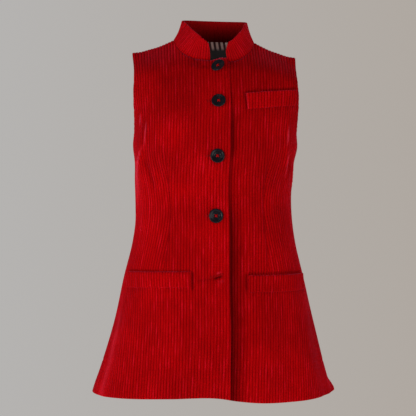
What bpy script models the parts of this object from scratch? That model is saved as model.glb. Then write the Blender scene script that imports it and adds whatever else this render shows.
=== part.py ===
"""A long sleeveless corduroy vest, worn hollow, front towards -Y, up along +Z.

Lengths below are in millimetres. The origin is where the wearer's shoulders hold the vest: on the middle
line, at the level where the shoulder seams meet the collar. A place on the cloth is given by u, the way
round the body from the middle in cloth length (negative on the wearer's right), and by its height.
"""
import math

import bmesh
import bpy
import numpy as np

MM = 0.001

# The cloth.
WALL = 2.0
WALE = 5.8
WALE_HIGH = 1.1
HALF_WALE = WALE / 2
INNER_STEP = 6
SEAM_GAP = 0.3
EDGE_SNAP = 0.8

# Heights of the vest.
HEM = -700.0
CREST_DEPTH = 60.0

# The neck hole and the shoulders.
NECK_HALF = 79.0
NECK_Y = 8.0
NECK_FRONT_DROP = 48.0
NECK_BACK_RISE = 4.0
NECK_BACK_SHARE = 0.62
CREST_FRONT_DIP = 8.0
CREST_FADE = 22.0
CREST_SOFT = {"front": (-3.0, 29.0), "back": (14.0, 44.0)}
SHOULDER_TIP = 163.0
LEAN = 0.031
LEAN_FROM = -300.0
LEAN_OVER = 250.0

# The shoulder seam falls from the neck to the tip.
SHOULDER_COLUMNS = ("place", "height")
SHOULDER = ((79, 0.0), (95, -8.0), (108, -14.0), (132, -22.0), (163, -32.0))
TIP_HEIGHT = SHOULDER[-1][1]

# The armhole's lowest point is on a row of the cloth, and its edge is this round.
UNDERARM_SHARE = 0.735
UNDERARM = HEM + UNDERARM_SHARE * (TIP_HEIGHT - HEM)
ARMHOLE_RISE = 0.5
ARMHOLE_ROUND = 1.48

# How far the front hem hangs above the level hem as it is worn.
HEM_COLUMNS = ("place", "above")
HEM_HANG = ((-240, 0.0), (-150, 2.5), (-80, 5.5), (20, 6.5), (45, 2.5), (80, -1.5), (150, -3.5), (260, 0.0))

# The overlap of the two fronts.
OVER_OUT = 1.7
UNDER_IN = 1.9
UNDER_EDGE = -16.0
BLEND = 28.0

# The rounded form of the worn vest, from the hem up: a level cut's half width, middle, front and back
# depths, and how square its corners are (2 is an ellipse).
FORM_COLUMNS = ("height", "half_width", "middle", "front", "back", "squareness")
FORM = (
    (-720, 242.0, -4.0, 169.0, 168.0, 2.10),
    (-700, 237.5, -4.0, 166.0, 165.0, 2.20),
    (-651, 222.5, -2.5, 159.0, 159.0, 2.20),
    (-567, 199.7, 0.0, 146.0, 145.0, 2.20),
    (-471, 177.7, -0.5, 129.0, 126.0, 2.20),
    (-399, 160.5, 0.0, 114.0, 108.0, 2.25),
    (-363, 155.5, 0.0, 110.0, 98.0, 2.30),
    (-330, 154.3, -1.0, 110.0, 94.0, 2.30),
    (-279, 155.6, -1.0, 118.0, 98.0, 2.35),
    (-243, 157.7, 1.0, 123.0, 103.0, 2.40),
    (-215, 162.5, 2.5, 121.0, 106.0, 2.45),
    (-187, 162.5, 3.0, 116.0, 106.0, 2.45),
    (-159, 167.0, 4.0, 108.0, 104.0, 2.50),
    (-99, 181.0, 4.0, 90.0, 96.0, 2.55),
    (-50, 178.0, 3.0, 68.0, 84.0, 2.60),
    (20, 176.0, 0.0, 46.0, 66.0, 2.60),
)

# Rows of the cloth, as shares of each wale's length from the hem up.
ROWS = (0.0, 0.14, 0.28, 0.39, 0.49, 0.575, 0.655, UNDERARM_SHARE, 0.75, 0.785, 0.83, 0.88, 0.93, 0.972, 1.0)

# The cloth that the waist darts take in at each height.
DART_COLUMNS = ("height", "intake")
DART = ((-455, 0.0), (-430, 5.0), (-380, 16.0), (-330, 22.0), (-290, 16.0), (-245, 3.0), (-225, 0.0))
DART_ZONE = 48.0
DART_PLACE = {"front_right": 96.0, "front_left": 110.0, "back": 92.0}

# The front edge of the front that laps over.
EDGE_COLUMNS = ("height", "place")
EDGE = ((-700, 35.0), (-560, 31.0), (-300, 29.5), (-120, 28.5), (-48, 25.0))

# The largest folds: from one end to the other, with their width, and height where it is out of the cloth.
FOLD_COLUMNS = ("piece", "from_u", "from_z", "to_u", "to_z", "width", "out")
FOLDS = (
    ("front_right", -148, -160, -172, -290, 10.0, 3.2),
    ("front_right", -128, -235, -108, -310, 14.0, -3.0),
    ("front_right", -52, -46, -24, -66, 5.0, -2.2),
    ("front_right", -120, -470, -135, -712, 26.0, -4.0),
    ("front_right", -215, -480, -262, -712, 24.0, -4.0),
    ("front_left", 47, -430, 56, -712, 13.0, -6.0),
    ("front_left", 158, -160, 150, -290, 10.0, 3.0),
    ("front_left", 176, -225, 182, -310, 8.0, 2.4),
    ("front_left", 135, -470, 158, -712, 26.0, -4.0),
    ("front_left", 225, -490, 262, -712, 22.0, -4.0),
    ("back", -60, -420, -78, -712, 24.0, -5.0),
    ("back", 52, -400, 60, -712, 24.0, -5.0),
    ("back", -170, -460, -195, -712, 26.0, -4.5),
    ("back", 165, -450, 205, -712, 26.0, -4.5),
    ("back", -150, -150, -178, -290, 11.0, 3.0),
    ("back", 152, -165, 176, -280, 11.0, 3.0),
)

# The collar.
COLLAR_HIGH = 41.0
COLLAR_WALL = 2.6
COLLAR_LIFT = 1.0
COLLAR_ENDS = (-9.0, 24.0)
COLLAR_ROUND = 22.0
COLLAR_FOOT_ROUND = 5.0
COLLAR_ROWS = (0.0, 0.12, 0.5, 0.8, 1.0)
COLLAR_LEAN = {"side": 24.0, "back": 8.0, "front": 8.0}

# The pocket welts: their ends round the body, and the height of the top edge at each end.
WELT_COLUMNS = ("name", "piece", "from_u", "to_u", "from_top", "to_top", "high")
WELTS = (
    ("chest_welt", "front_left", 60.0, 162.0, -115.0, -108.0, 32.0),
    ("hip_welt_right", "front_right", -194.0, -43.5, -457.0, -456.0, 31.0),
    ("hip_welt_left", "front_left", 66.0, 210.0, -459.0, -461.0, 32.0),
)
WELT_WALL = 1.8
WELT_STEP = 2
WELT_CLEAR = 0.7
WELT_PUFF = 0.5

# The lining where it shows, under the back neck.
LINING_WALL = 1.0
LINING_IN = 1.5
LINING_HALF = 58.0
LINING_ROWS = (0.83, 0.88, 0.93, 0.972, 0.99)

# The buttons: height, place, and how far each is turned up and rolled on the cloth.
BUTTON_COLUMNS = ("height", "place", "nod", "roll")
BUTTONS = ((-59, 6.5, 2.0, -24.0), (-127, 9.0, 6.0, -8.0), (-237, 7.0, -2.0, 3.0), (-352, 4.6, 2.0, 6.0))
BUTTON_PROFILE_COLUMNS = ("radius", "height")
BUTTON_PROFILE = ((10.8, 0.0), (13.2, 0.9), (13.9, 2.1), (13.2, 3.5), (11.9, 3.9), (10.2, 3.3), (6.0, 2.6))
BUTTON_SIDES = 24
BUTTON_SWAY = 0.3
BUTTON_CLEAR = -0.3

FINISH_COLUMNS = ("colour", "roughness")
FINISHES = {
    "corduroy": ((0.42, 0.012, 0.016), 0.85),
    "lining": ((0.34, 0.30, 0.28), 0.7),
    "button": ((0.012, 0.012, 0.013), 0.3),
}


def clear_scene():
    for old in list(bpy.data.objects):
        bpy.data.objects.remove(old, do_unlink=True)


def smooth(t):
    """Goes from 0 to 1 softly, and stays there."""
    t = np.clip(t, 0.0, 1.0)
    return t * t * (3 - 2 * t)


def curve(at, places, values):
    """A soft curve through the rows of a table, straight past its ends."""
    places, values = np.asarray(places, float), np.asarray(values, float)
    slopes = np.gradient(values, places)
    at = np.clip(at, places[0], places[-1])
    i = np.clip(np.searchsorted(places, at) - 1, 0, len(places) - 2)
    step = places[i + 1] - places[i]
    t = (at - places[i]) / step
    rise = values[i] * (1 + 2 * t) + slopes[i] * step * t
    fall = values[i + 1] * (3 - 2 * t) + slopes[i + 1] * step * (t - 1)
    return rise * (1 - t) ** 2 + fall * t**2


def form_at(column, height):
    k = FORM_COLUMNS.index(column)
    return curve(height, [row[0] for row in FORM], [row[k] for row in FORM])


class LevelCuts:
    """The form's level cuts on one face, tabled so that a way round the body gives a point."""

    STEP = 4.0
    SHARES = 96

    def __init__(self, depth):
        self.low = HEM - 20
        heights = np.arange(self.low, 21, self.STEP)
        turn = np.linspace(0, math.pi / 2, 361)
        share = np.linspace(0, 1, self.SHARES + 1)
        self.out, self.away, self.length = [], [], []
        for z in heights:
            power = 2 / form_at("squareness", z)
            x = form_at("half_width", z) * np.sin(turn) ** power
            y = form_at(depth, z) * np.cos(turn) ** power
            way = np.concatenate([[0], np.cumsum(np.hypot(np.diff(x), np.diff(y)))])
            self.out.append(np.interp(share * way[-1], way, x))
            self.away.append(np.interp(share * way[-1], way, y))
            self.length.append(way[-1])
        self.out, self.away, self.length = np.array(self.out), np.array(self.away), np.array(self.length)

    def mixed(self, table, height, share):
        """A value of a table between its four nearest entries."""
        row = np.clip((height - self.low) / self.STEP, 0, len(table) - 1.001)
        column = np.clip(share, 0, 1) * self.SHARES
        i, j = row.astype(int), np.minimum(column.astype(int), self.SHARES - 1)
        p, q = row - i, column - j
        low = table[i, j] * (1 - q) + table[i, j + 1] * q
        high = table[i + 1, j] * (1 - q) + table[i + 1, j + 1] * q
        return low * (1 - p) + high * p

    def side(self, height):
        """The way from the middle to the side seam."""
        return np.interp(height, self.low + self.STEP * np.arange(len(self.length)), self.length)

    def point(self, way, height):
        share = way / self.side(height)
        return self.mixed(self.out, height, share), self.mixed(self.away, height, share)


class Panel:
    """The cloth of one front or of the back: where each place of it lies on the worn form."""

    def __init__(self, name, cuts):
        self.name, self.cuts = name, cuts
        self.face = 1 if name == "back" else -1
        self.dart = DART_PLACE[name]
        self.armhole_end = float(cuts.side(UNDERARM))

    def shoulder(self, u):
        return curve(np.abs(u), [row[0] for row in SHOULDER], [row[1] for row in SHOULDER])

    def crest(self, u, height):
        """The height of the line where the cloth would turn over the shoulders and neck."""
        across = np.clip(np.abs(u) / NECK_HALF, 0, 1)
        middle, fall = CREST_SOFT["front" if self.face < 0 else "back"]
        soft = middle - fall * (np.abs(u) / SHOULDER_TIP) ** 2
        if self.face < 0:
            edge = self.shoulder(u) - CREST_FRONT_DIP * (1 - across**2)
        else:
            neck = np.arcsin(NECK_BACK_SHARE * np.sqrt(1 - across**2.2))
            edge = self.top(u) + neck * CREST_DEPTH * 2 / math.pi
        near = np.exp(-np.maximum(self.top(u) - height, 0) / CREST_FADE)
        return soft + (edge - soft) * near

    def top(self, u):
        """The height of the cloth's own top edge: the neckline, then the shoulder seam."""
        drop = np.sqrt(1 - np.clip(np.abs(u) / NECK_HALF, 0, 1) ** 2.6)
        if self.face > 0:
            return self.shoulder(u) + NECK_BACK_RISE * drop
        return self.shoulder(u) - NECK_FRONT_DROP * drop

    def intake(self, u, height):
        taken = curve(height, [row[0] for row in DART], [row[1] for row in DART])
        return np.maximum(taken, 0) * smooth((np.abs(u) - self.dart) / DART_ZONE + 0.5)

    def side_seam(self, height):
        taken = curve(height, [row[0] for row in DART], [row[1] for row in DART])
        return self.cuts.side(height) + np.maximum(taken, 0)

    def armhole(self, height):
        """The way round to the armhole's edge above the underarm."""
        risen = np.clip((height - UNDERARM) / (TIP_HEIGHT - UNDERARM), 0, 1)
        return SHOULDER_TIP + (self.armhole_end - SHOULDER_TIP) * (1 - risen**ARMHOLE_RISE) ** ARMHOLE_ROUND

    def outline(self, height):
        """How far round the cloth reaches at a height, a hair short of the seam."""
        reach = np.where(height > UNDERARM, self.armhole(height), self.side_seam(height))
        return reach - SEAM_GAP / 2

    def hang(self, u):
        if self.face > 0:
            return np.zeros_like(u)
        return curve(u, [row[0] for row in HEM_HANG], [row[1] for row in HEM_HANG])

    def height(self, u, share):
        return HEM + share * (self.top(u) - HEM) + self.hang(u) * (1 - share) ** 2

    def form_point(self, u, share):
        """The form's own surface, before folds."""
        height = self.height(u, share)
        way = np.abs(u) - self.intake(u, height)
        x, y = self.cuts.point(way, height)
        x = np.sign(u) * x + form_at("middle", height)
        turned = np.sin(math.pi / 2 * np.clip((self.crest(u, height) - height) / CREST_DEPTH, 0, 1))
        x = u + (x - u) * turned
        y = NECK_Y + (self.face * y - NECK_Y) * turned
        return np.stack([x, y, height], axis=-1)

    def normal(self, u, share):
        across = self.form_point(u + 0.6, share) - self.form_point(u - 0.6, share)
        up = self.form_point(u, share) - self.form_point(u, share - 0.004)
        out = np.cross(across, up) * -self.face
        out /= np.linalg.norm(out, axis=-1, keepdims=True)
        seam = (share > 0.999) & (np.abs(u) >= NECK_HALF - 0.01)
        return np.where(seam[..., None], np.array([0.0, 0.0, 1.0]), out)

    def lift(self, u, height):
        """How far the cloth stands out of the form: the overlap, and the folds."""
        out = np.zeros_like(height)
        if self.name == "front_right":
            out += OVER_OUT * smooth((u - UNDER_EDGE + BLEND) / BLEND)
        if self.name == "front_left":
            out -= UNDER_IN * (1 - smooth((u - 36) / BLEND))
        for piece, u0, z0, u1, z1, width, high in FOLDS:
            if piece == self.name:
                along = np.array([u1 - u0, z1 - z0], float)
                t = ((u - u0) * along[0] + (height - z0) * along[1]) / (along @ along)
                ends = smooth(t / 0.35) * (1 - smooth((t - 0.75) / 0.25) * (z1 > HEM))
                off = ((u - u0) * along[1] - (height - z0) * along[0]) / np.linalg.norm(along)
                out += high * ends * np.exp(-((off / width) ** 2))
        return out

    def seam_step(self, u, share):
        """Half of the seam's gap, where front and back meet on the shoulder."""
        meets = (share > 0.999) & (np.abs(u) >= NECK_HALF - 0.01)
        return np.where(meets, self.face * SEAM_GAP * 0.6, 0.0)

    def point(self, u, share, out=0.0):
        """A point of the cloth's outside, moved out by a distance."""
        u, share = np.broadcast_arrays(np.asarray(u, float), np.asarray(share, float))
        place = self.form_point(u, share)
        push = self.lift(u, place[..., 2]) + out
        place = place + self.normal(u, share) * push[..., None]
        place[..., 1] += self.seam_step(u, share)
        return place

    def share_at(self, u, height):
        return (height - HEM) / (self.top(u) - HEM)

    def on_rows(self, u, share, out=0.0):
        """A point of the cloth as its rows cut it: straight between one row and the next."""
        rows = np.array(ROWS)
        i = int(np.clip(np.searchsorted(rows, share) - 1, 0, len(rows) - 2))
        t = (share - rows[i]) / (rows[i + 1] - rows[i])
        return self.point(u, rows[i], out) * (1 - t) + self.point(u, rows[i + 1], out) * t


def leaned(points):
    """The worn vest's lean: its right shoulder sits higher."""
    fade = smooth((points[..., 2] - LEAN_FROM) / LEAN_OVER)
    points = points.copy()
    points[..., 2] -= LEAN * points[..., 0] * fade
    return points


def finish(name):
    colour, roughness = FINISHES[name]
    material = bpy.data.materials.get(name) or bpy.data.materials.new(name)
    material.use_nodes = True
    shader = material.node_tree.nodes["Principled BSDF"]
    shader.inputs["Base Color"].default_value = (*colour, 1.0)
    shader.inputs["Roughness"].default_value = roughness
    shader.inputs["Metallic"].default_value = 0.0
    return material


class Solid:
    """Collects points, joining equal ones, and faces, leaving out flat ones."""

    def __init__(self):
        self.mesh = bmesh.new()
        self.seen = {}

    def corner(self, point):
        key = tuple(int(round(c * 20000)) for c in point)
        if key not in self.seen:
            self.seen[key] = self.mesh.verts.new([float(c) * MM for c in point])
        return self.seen[key]

    def face(self, *points):
        corners = []
        for corner in (self.corner(p) for p in points):
            if corner not in corners:
                corners.append(corner)
        if len(corners) > 2:
            self.mesh.faces.new(corners)

    def finish(self, name, look):
        bmesh.ops.triangulate(self.mesh, faces=self.mesh.faces[:])
        bmesh.ops.recalc_face_normals(self.mesh, faces=self.mesh.faces[:])
        data = bpy.data.meshes.new(name)
        self.mesh.to_mesh(data)
        self.mesh.free()
        data.materials.append(finish(look))
        made = bpy.data.objects.new(name, data)
        bpy.context.scene.collection.objects.link(made)
        return made


def wall_solid(name, outer, inner, step, look):
    """A wall between an outer grid of points and a coarser inner one with the same rows."""
    solid = Solid()
    outer, inner = leaned(outer), leaned(inner)
    for grid in (outer, inner):
        for low, high in zip(grid[:-1], grid[1:]):
            for k in range(len(low) - 1):
                solid.face(low[k], low[k + 1], high[k + 1], high[k])
    for row in (0, -1):
        dense, plain = outer[row], inner[row]
        for j in range(len(plain) - 1):
            start, stop = j * step, min((j + 1) * step, len(dense) - 1)
            middle = (start + stop) // 2
            for i in range(start, stop):
                solid.face(plain[j if i < middle else j + 1], dense[i], dense[i + 1])
            solid.face(plain[j], dense[middle], plain[j + 1])
    for end in (0, -1):
        for row in range(len(outer) - 1):
            solid.face(outer[row][end], outer[row + 1][end], inner[row + 1][end], inner[row][end])
    return solid.finish(name, look)


def columns(low, high):
    """The places of the valleys and tops of the wales between two ends."""
    first, last = math.ceil(low / HALF_WALE), math.floor(high / HALF_WALE)
    return np.arange(first - 1, last + 2) * HALF_WALE


def row_places(places, low, high):
    """The places of one row, held at the two ends, and how high the wale is at each."""
    held = np.clip(places, low, high)
    held[places < low + EDGE_SNAP] = low
    held[places > high - EDGE_SNAP] = high
    odd = np.round(places / HALF_WALE).astype(int) % 2
    inside = (held > low) & (held < high)
    return held, WALE_HIGH * odd * inside


def panel_ends(panel, share):
    """Where a row of a panel starts and stops."""
    height = HEM + share * (TIP_HEIGHT - HEM)
    reach = float(panel.outline(height))
    if panel.name == "back":
        return -reach, reach
    if panel.name == "front_right":
        edge = curve(height, [row[0] for row in EDGE], [row[1] for row in EDGE])
        return -reach, float(edge)
    return UNDER_EDGE, reach


def build_panel(panel):
    ends = [panel_ends(panel, share) for share in ROWS]
    places = columns(min(e[0] for e in ends), max(e[1] for e in ends))
    picked = list(range(0, len(places) - 1, INNER_STEP)) + [len(places) - 1]
    outer, inner = [], []
    for share, (low, high) in zip(ROWS, ends):
        held, wale = row_places(places, low, high)
        outer.append(panel.point(held, share, wale))
        inner.append(panel.point(held[picked], share, -WALL))
    return wall_solid(panel.name, np.array(outer), np.array(inner), INNER_STEP, "corduroy")


def build_welt(row, panel):
    name, _, low, high, low_top, high_top, tall = row
    places = columns(low, high)
    picked = list(range(0, len(places) - 1, WELT_STEP)) + [len(places) - 1]
    held, wale = row_places(places, low, high)
    tops = low_top + (high_top - low_top) * (held - low) / (high - low)
    under = WALE_HIGH + WELT_CLEAR
    foot, head = panel.share_at(held, tops - tall), panel.share_at(held, tops)
    middle, inset = (foot + head) / 2, (head - foot) * 0.12
    for share in ROWS:
        if foot.min() < share < head.max():
            middle = np.clip(share, foot + inset, head - inset)
    outer, inner = [], []
    for shares, puff in ((foot, 0.0), (middle, WELT_PUFF), (head, 0.0)):
        out = WELT_WALL + under + puff
        outer.append([panel.on_rows(u, s, out + w) for u, s, w in zip(held, shares, wale)])
        inner.append([panel.on_rows(held[k], shares[k], under) for k in picked])
    return wall_solid(name, np.array(outer), np.array(inner), WELT_STEP, "corduroy")


def build_lining(panel):
    places = np.linspace(-LINING_HALF, LINING_HALF, 17)
    near, far = -WALL - LINING_IN, -WALL - LINING_IN - LINING_WALL
    outer = [panel.on_rows(places, share, near) for share in LINING_ROWS]
    inner = [panel.on_rows(places, share, far) for share in LINING_ROWS]
    return wall_solid("lining_back", np.array(outer), np.array(inner), 1, "lining")


def neck_path(front_right, front_left, back):
    """Points round the neckline, from the over front's end by the back to the under front's end."""
    def turn_of(x):
        return math.asin(abs(x) / NECK_HALF)

    quarter = math.pi / 2
    runs = (
        (front_right, -1, turn_of(COLLAR_ENDS[0]), quarter),
        (back, -1, quarter, 0.0),
        (back, 1, 0.0, quarter),
        (front_left, 1, quarter, turn_of(COLLAR_ENDS[1])),
    )
    path = []
    for panel, side, start, stop in runs:
        u = side * NECK_HALF * np.sin(np.linspace(start, stop, 121))
        points = panel.form_point(u, np.ones_like(u))
        points += panel.normal(u, np.ones_like(u)) * panel.lift(u, points[:, 2])[:, None]
        path.append(points if not path else points[1:])
    return np.concatenate(path)


def build_collar(path):
    way = np.concatenate([[0], np.cumsum(np.linalg.norm(np.diff(path, axis=0), axis=1))])
    back = way[np.argmax(path[:, 1])]
    low, high = -back, way[-1] - back

    def at(v):
        return np.stack([np.interp(v + back, way, path[:, k]) for k in range(3)], axis=-1)

    def frame(v):
        along = at(np.minimum(v + 3, high)) - at(np.maximum(v - 3, low))
        along /= np.linalg.norm(along, axis=-1, keepdims=True)
        place = at(v)
        centre = np.stack([-along[:, 1], along[:, 0], np.zeros(len(v))], axis=-1)
        centre /= np.linalg.norm(centre, axis=-1, keepdims=True)
        sideways = np.abs(centre[:, 0])
        ends = np.where(centre[:, 1] > 0, COLLAR_LEAN["back"], COLLAR_LEAN["front"])
        lean = np.radians(ends + (COLLAR_LEAN["side"] - ends) * sideways**2)
        rise = np.stack([np.zeros(len(v)), np.zeros(len(v)), np.cos(lean)], axis=-1)
        rise -= centre * np.sin(lean)[:, None]
        rise -= along * (rise * along).sum(axis=-1, keepdims=True)
        rise /= np.linalg.norm(rise, axis=-1, keepdims=True)
        out = np.cross(rise, along)
        out *= np.sign((out * centre).sum(axis=-1, keepdims=True))
        return place, rise, out

    places = columns(low, high)
    picked = list(range(0, len(places) - 1, 4)) + [len(places) - 1]
    outer, inner = [], []
    for share in COLLAR_ROWS:
        up = share * COLLAR_HIGH
        top = max(0.0, up - COLLAR_HIGH + COLLAR_ROUND) / COLLAR_ROUND
        foot = max(0.0, COLLAR_FOOT_ROUND - up) / COLLAR_FOOT_ROUND
        cut = COLLAR_ROUND * (1 - math.sqrt(1 - top**2)) + COLLAR_FOOT_ROUND * (1 - math.sqrt(1 - foot**2))
        held, wale = row_places(places, low + cut, high - cut)
        place, rise, out = frame(held)
        line = place + rise * (COLLAR_LIFT + up)
        outer.append(line + out * wale[:, None])
        inner.append((line - out * COLLAR_WALL)[picked])
    return wall_solid("collar", np.array(outer), np.array(inner), 4, "corduroy")


def build_button(number, row, panel):
    """A dished round button, turned from its profile, standing just clear of the wales."""
    height, place, nod, roll = row
    share = float(panel.share_at(place, height))
    seat = leaned(panel.on_rows(place, share, WALE_HIGH + SEAM_GAP))
    out = panel.normal(np.array(place), np.array(share))
    pitch = math.asin(float(out[2])) + math.radians(nod)
    foot = BUTTON_PROFILE[0][0]
    turn = math.radians(roll)
    sway = turn * BUTTON_SWAY
    clear = foot * (math.sin(math.radians(abs(nod))) + math.sin(abs(sway))) + BUTTON_CLEAR
    facing = np.array([0.0, -math.cos(pitch), math.sin(pitch)])
    upward = np.array([0.0, math.sin(pitch), math.cos(pitch)])
    across = np.array([1.0, 0.0, 0.0])
    facing = facing * math.cos(sway) + across * math.sin(sway)
    across = np.cross(facing, upward)
    across /= np.linalg.norm(across)
    upward = np.cross(across, facing)
    solid = Solid()
    rings = []
    for radius, high in BUTTON_PROFILE:
        angles = np.linspace(0, 2 * math.pi, BUTTON_SIDES, endpoint=False)
        ring = np.cos(angles)[:, None] * across + np.sin(angles)[:, None] * upward
        rings.append(seat + radius * ring + facing * (high + clear))
    for low, high in zip(rings[:-1], rings[1:]):
        for k in range(BUTTON_SIDES):
            after = (k + 1) % BUTTON_SIDES
            solid.face(low[k], low[after], high[after], high[k])
    solid.face(*rings[0])
    solid.face(*rings[-1])
    return solid.finish(f"button_{number}", "button")


def main():
    clear_scene()
    front, rear = LevelCuts("front"), LevelCuts("back")
    panels = {name: Panel(name, rear if name == "back" else front) for name in DART_PLACE}
    for panel in panels.values():
        build_panel(panel)
    for row in WELTS:
        build_welt(row, panels[row[1]])
    build_lining(panels["back"])
    build_collar(neck_path(panels["front_right"], panels["front_left"], panels["back"]))
    for number, row in enumerate(BUTTONS, start=1):
        build_button(number, row, panels["front_right"])


main()
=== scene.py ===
"""The looks of a long sleeveless corduroy vest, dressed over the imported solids.

Sizes in the classes are in millimetres, and every mesh is in metres. A place on the cloth is given by u, the
way round the body from the middle in cloth length (negative on the wearer's right), and by its height. The
origin is where the wearer's shoulders hold the vest.
"""
from __future__ import annotations

import logging
import math
from dataclasses import dataclass
from enum import Enum

import bmesh
import bpy
import numpy as np
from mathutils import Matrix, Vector


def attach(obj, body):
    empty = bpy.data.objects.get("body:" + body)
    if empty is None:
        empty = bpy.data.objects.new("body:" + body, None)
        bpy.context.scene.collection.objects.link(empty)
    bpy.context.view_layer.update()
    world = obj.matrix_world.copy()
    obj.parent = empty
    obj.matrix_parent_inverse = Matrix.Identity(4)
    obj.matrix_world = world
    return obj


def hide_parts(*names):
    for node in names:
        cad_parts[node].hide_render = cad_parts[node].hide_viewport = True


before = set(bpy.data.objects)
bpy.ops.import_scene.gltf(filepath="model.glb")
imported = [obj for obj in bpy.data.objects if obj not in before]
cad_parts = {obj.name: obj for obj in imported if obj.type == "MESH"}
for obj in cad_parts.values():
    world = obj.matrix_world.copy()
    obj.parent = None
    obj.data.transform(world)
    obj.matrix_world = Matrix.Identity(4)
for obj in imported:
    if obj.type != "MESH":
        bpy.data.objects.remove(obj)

# A millimetre, and how near two points are when they are one, in metres.
MM = 0.001
SAME_POINT = 2e-6

# The attributes that the corduroy and the lining read; the second, named nap, carries painted light and shade
# on the corduroy.
CLOTH_PLACE = "cloth"
CLOTH_PAINTED_LIGHT = "nap"

# The Mix node's sockets for colours: its factor, its two colours and its result.
MIX_FACTOR, MIX_FIRST, MIX_SECOND, MIX_RESULT = 0, 6, 7, 2

log = logging.getLogger("vest")
Grid = np.ndarray


class Piece(Enum):
    """The three large pieces of the vest."""

    RIGHT_FRONT = "front_right"
    LEFT_FRONT = "front_left"
    BACK = "back"


class Side(Enum):
    """The side of the cloth that a point lies on."""

    FACE = 0.0
    WRONG = 1.0


# Wall rows: the piece, its dart's place, its rows, its columns in each wale, and the lengths with close rows.
HEM_TURN, POCKETS, CHEST, NECK = (0.084, 0.102), (0.338, 0.38), (0.857, 0.908), (0.958, 0.994)
FINE_WALE = (0.0, 0.12, 0.3, 0.5, 0.7, 0.88)
WALLS = (
    (Piece.RIGHT_FRONT, 96.0, 92, FINE_WALE, (HEM_TURN, POCKETS, NECK)),
    (Piece.LEFT_FRONT, 110.0, 92, FINE_WALE, (HEM_TURN, POCKETS, CHEST, NECK)),
    (Piece.BACK, 92.0, 72, (0.0, 0.14, 0.37, 0.63, 0.86), (HEM_TURN,)),
)

# Welts: the node, its front, from and to round the body, the top at each end, height, slant and the painted
# highlight on its turned edges.
WELTS = (
    ("chest_welt", Piece.LEFT_FRONT, 57.0, 162.0, -112.0, -99.5, 32.0, 4.0, 0.16),
    ("hip_welt_right", Piece.RIGHT_FRONT, -194.0, -43.5, -459.5, -458.5, 31.0, 0.0, 0.04),
    ("hip_welt_left", Piece.LEFT_FRONT, 66.0, 210.0, -463.0, -462.0, 32.0, 0.0, 0.04),
)

# Buttons: the number, height, place round the body, and the degrees that it nods and sways.
BUTTONS = (
    (1, -63.0, 7.0, 37.0, -24.0),
    (2, -131.0, 5.0, 25.0, -6.0),
    (3, -237.0, 5.0, 10.0, 3.0),
    (4, -352.0, 4.0, 4.0, 4.0),
)

# Buttonholes: the number, height, from and to round the body, and the rise between.
BUTTONHOLES = (
    (2, -131.0, -15.5, 4.0, 0.0),
    (3, -237.0, -15.0, 5.0, 0.0),
    (4, -352.0, -15.0, 5.0, 0.0),
    (5, -471.0, -6.0, 15.5, 6.5),
)

# Lights: the name, place in metres, side of its square, watts and colour.
LIGHTS = (
    ("key", (-1.7, -2.1, -0.35), 1.1, 17.5, (1.0, 0.985, 0.965)),
    ("top", (-1.5, -2.3, 0.75), 1.1, 1.6, (1.0, 0.985, 0.965)),
    ("fill", (1.9, -2.4, -0.2), 2.0, 25.0, (1.0, 0.97, 0.95)),
    ("side", (-2.4, -0.6, -0.1), 1.2, 13.0, (1.0, 0.97, 0.97)),
    ("window", (-0.5, -2.5, 1.0), 0.35, 1.6, (1.0, 1.0, 1.0)),
    ("back", (0.6, 2.6, 0.9), 2.0, 24.0, (1.0, 0.98, 0.97)),
)


def smooth(t: Grid) -> Grid:
    """Goes from 0 to 1 softly, and stays there."""
    t = np.clip(t, 0.0, 1.0)
    return t * t * (3 - 2 * t)


def curve(at: Grid, rows: tuple, column: int = 1) -> Grid:
    """A soft curve through the rows of a table, level past its ends.

    Args:
        at: the places to read.
        rows: the table, with the place in its first column.
        column: the column that is read.

    Returns:
        The value at each place.
    """
    places = np.array([row[0] for row in rows], float)
    values = np.array([row[column] for row in rows], float)
    slopes = np.gradient(values, places)
    at = np.clip(at, places[0], places[-1])
    i = np.clip(np.searchsorted(places, at) - 1, 0, len(places) - 2)
    step = places[i + 1] - places[i]
    t = (at - places[i]) / step
    rise = values[i] * (1 + 2 * t) + slopes[i] * step * t
    fall = values[i + 1] * (3 - 2 * t) + slopes[i + 1] * step * (t - 1)
    return rise * (1 - t) ** 2 + fall * t**2


def rounded(distance: Grid, radius: float) -> Grid:
    """How far a turned edge has rounded away at a distance from it."""
    t = 1 - np.clip(distance / radius, 0, 1)
    return radius * (1 - np.sqrt(1 - t**2))


@dataclass(frozen=True)
class Corduroy:
    """The cloth: its wall, its wales, and how its turned edges round."""

    wall: float = 2.0
    pitch: float = 5.8
    high: float = 1.15
    flat_top: float = 2.4
    shoulder_fall: float = 0.75
    places: tuple = FINE_WALE
    edge_snap: float = 0.5
    edge_round: float = 0.85

    def wale(self, u: Grid) -> Grid:
        """How far the pile stands up at a place: round tops and narrow valleys."""
        across = np.abs(2 * np.mod(u / self.pitch, 1) - 1)
        return self.high * (1 - across**self.flat_top) ** self.shoulder_fall

    def columns(self, low: float, high: float) -> Grid:
        """The places of the mesh's columns, several to each wale.

        Args:
            low: the first end.
            high: the last end.

        Returns:
            Places from the wale before the first end to past the last.
        """
        first, last = math.floor(low / self.pitch), math.ceil(high / self.pitch)
        whole = np.arange(first, last)[:, None] + np.array(self.places)
        return np.append(whole.ravel(), last) * self.pitch

    def held(self, columns: Grid, low: Grid, high: Grid) -> Grid:
        """Stops the columns of each row at the row's two ends.

        Args:
            columns: the columns' places.
            low: each row's first end.
            high: each row's last end.

        Returns:
            The place of each column on each row.
        """
        held = np.clip(columns[None, :], low[:, None], high[:, None])
        held = np.where(columns[None, :] < low[:, None] + self.edge_snap, low[:, None], held)
        return np.where(columns[None, :] > high[:, None] - self.edge_snap, high[:, None], held)


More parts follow.
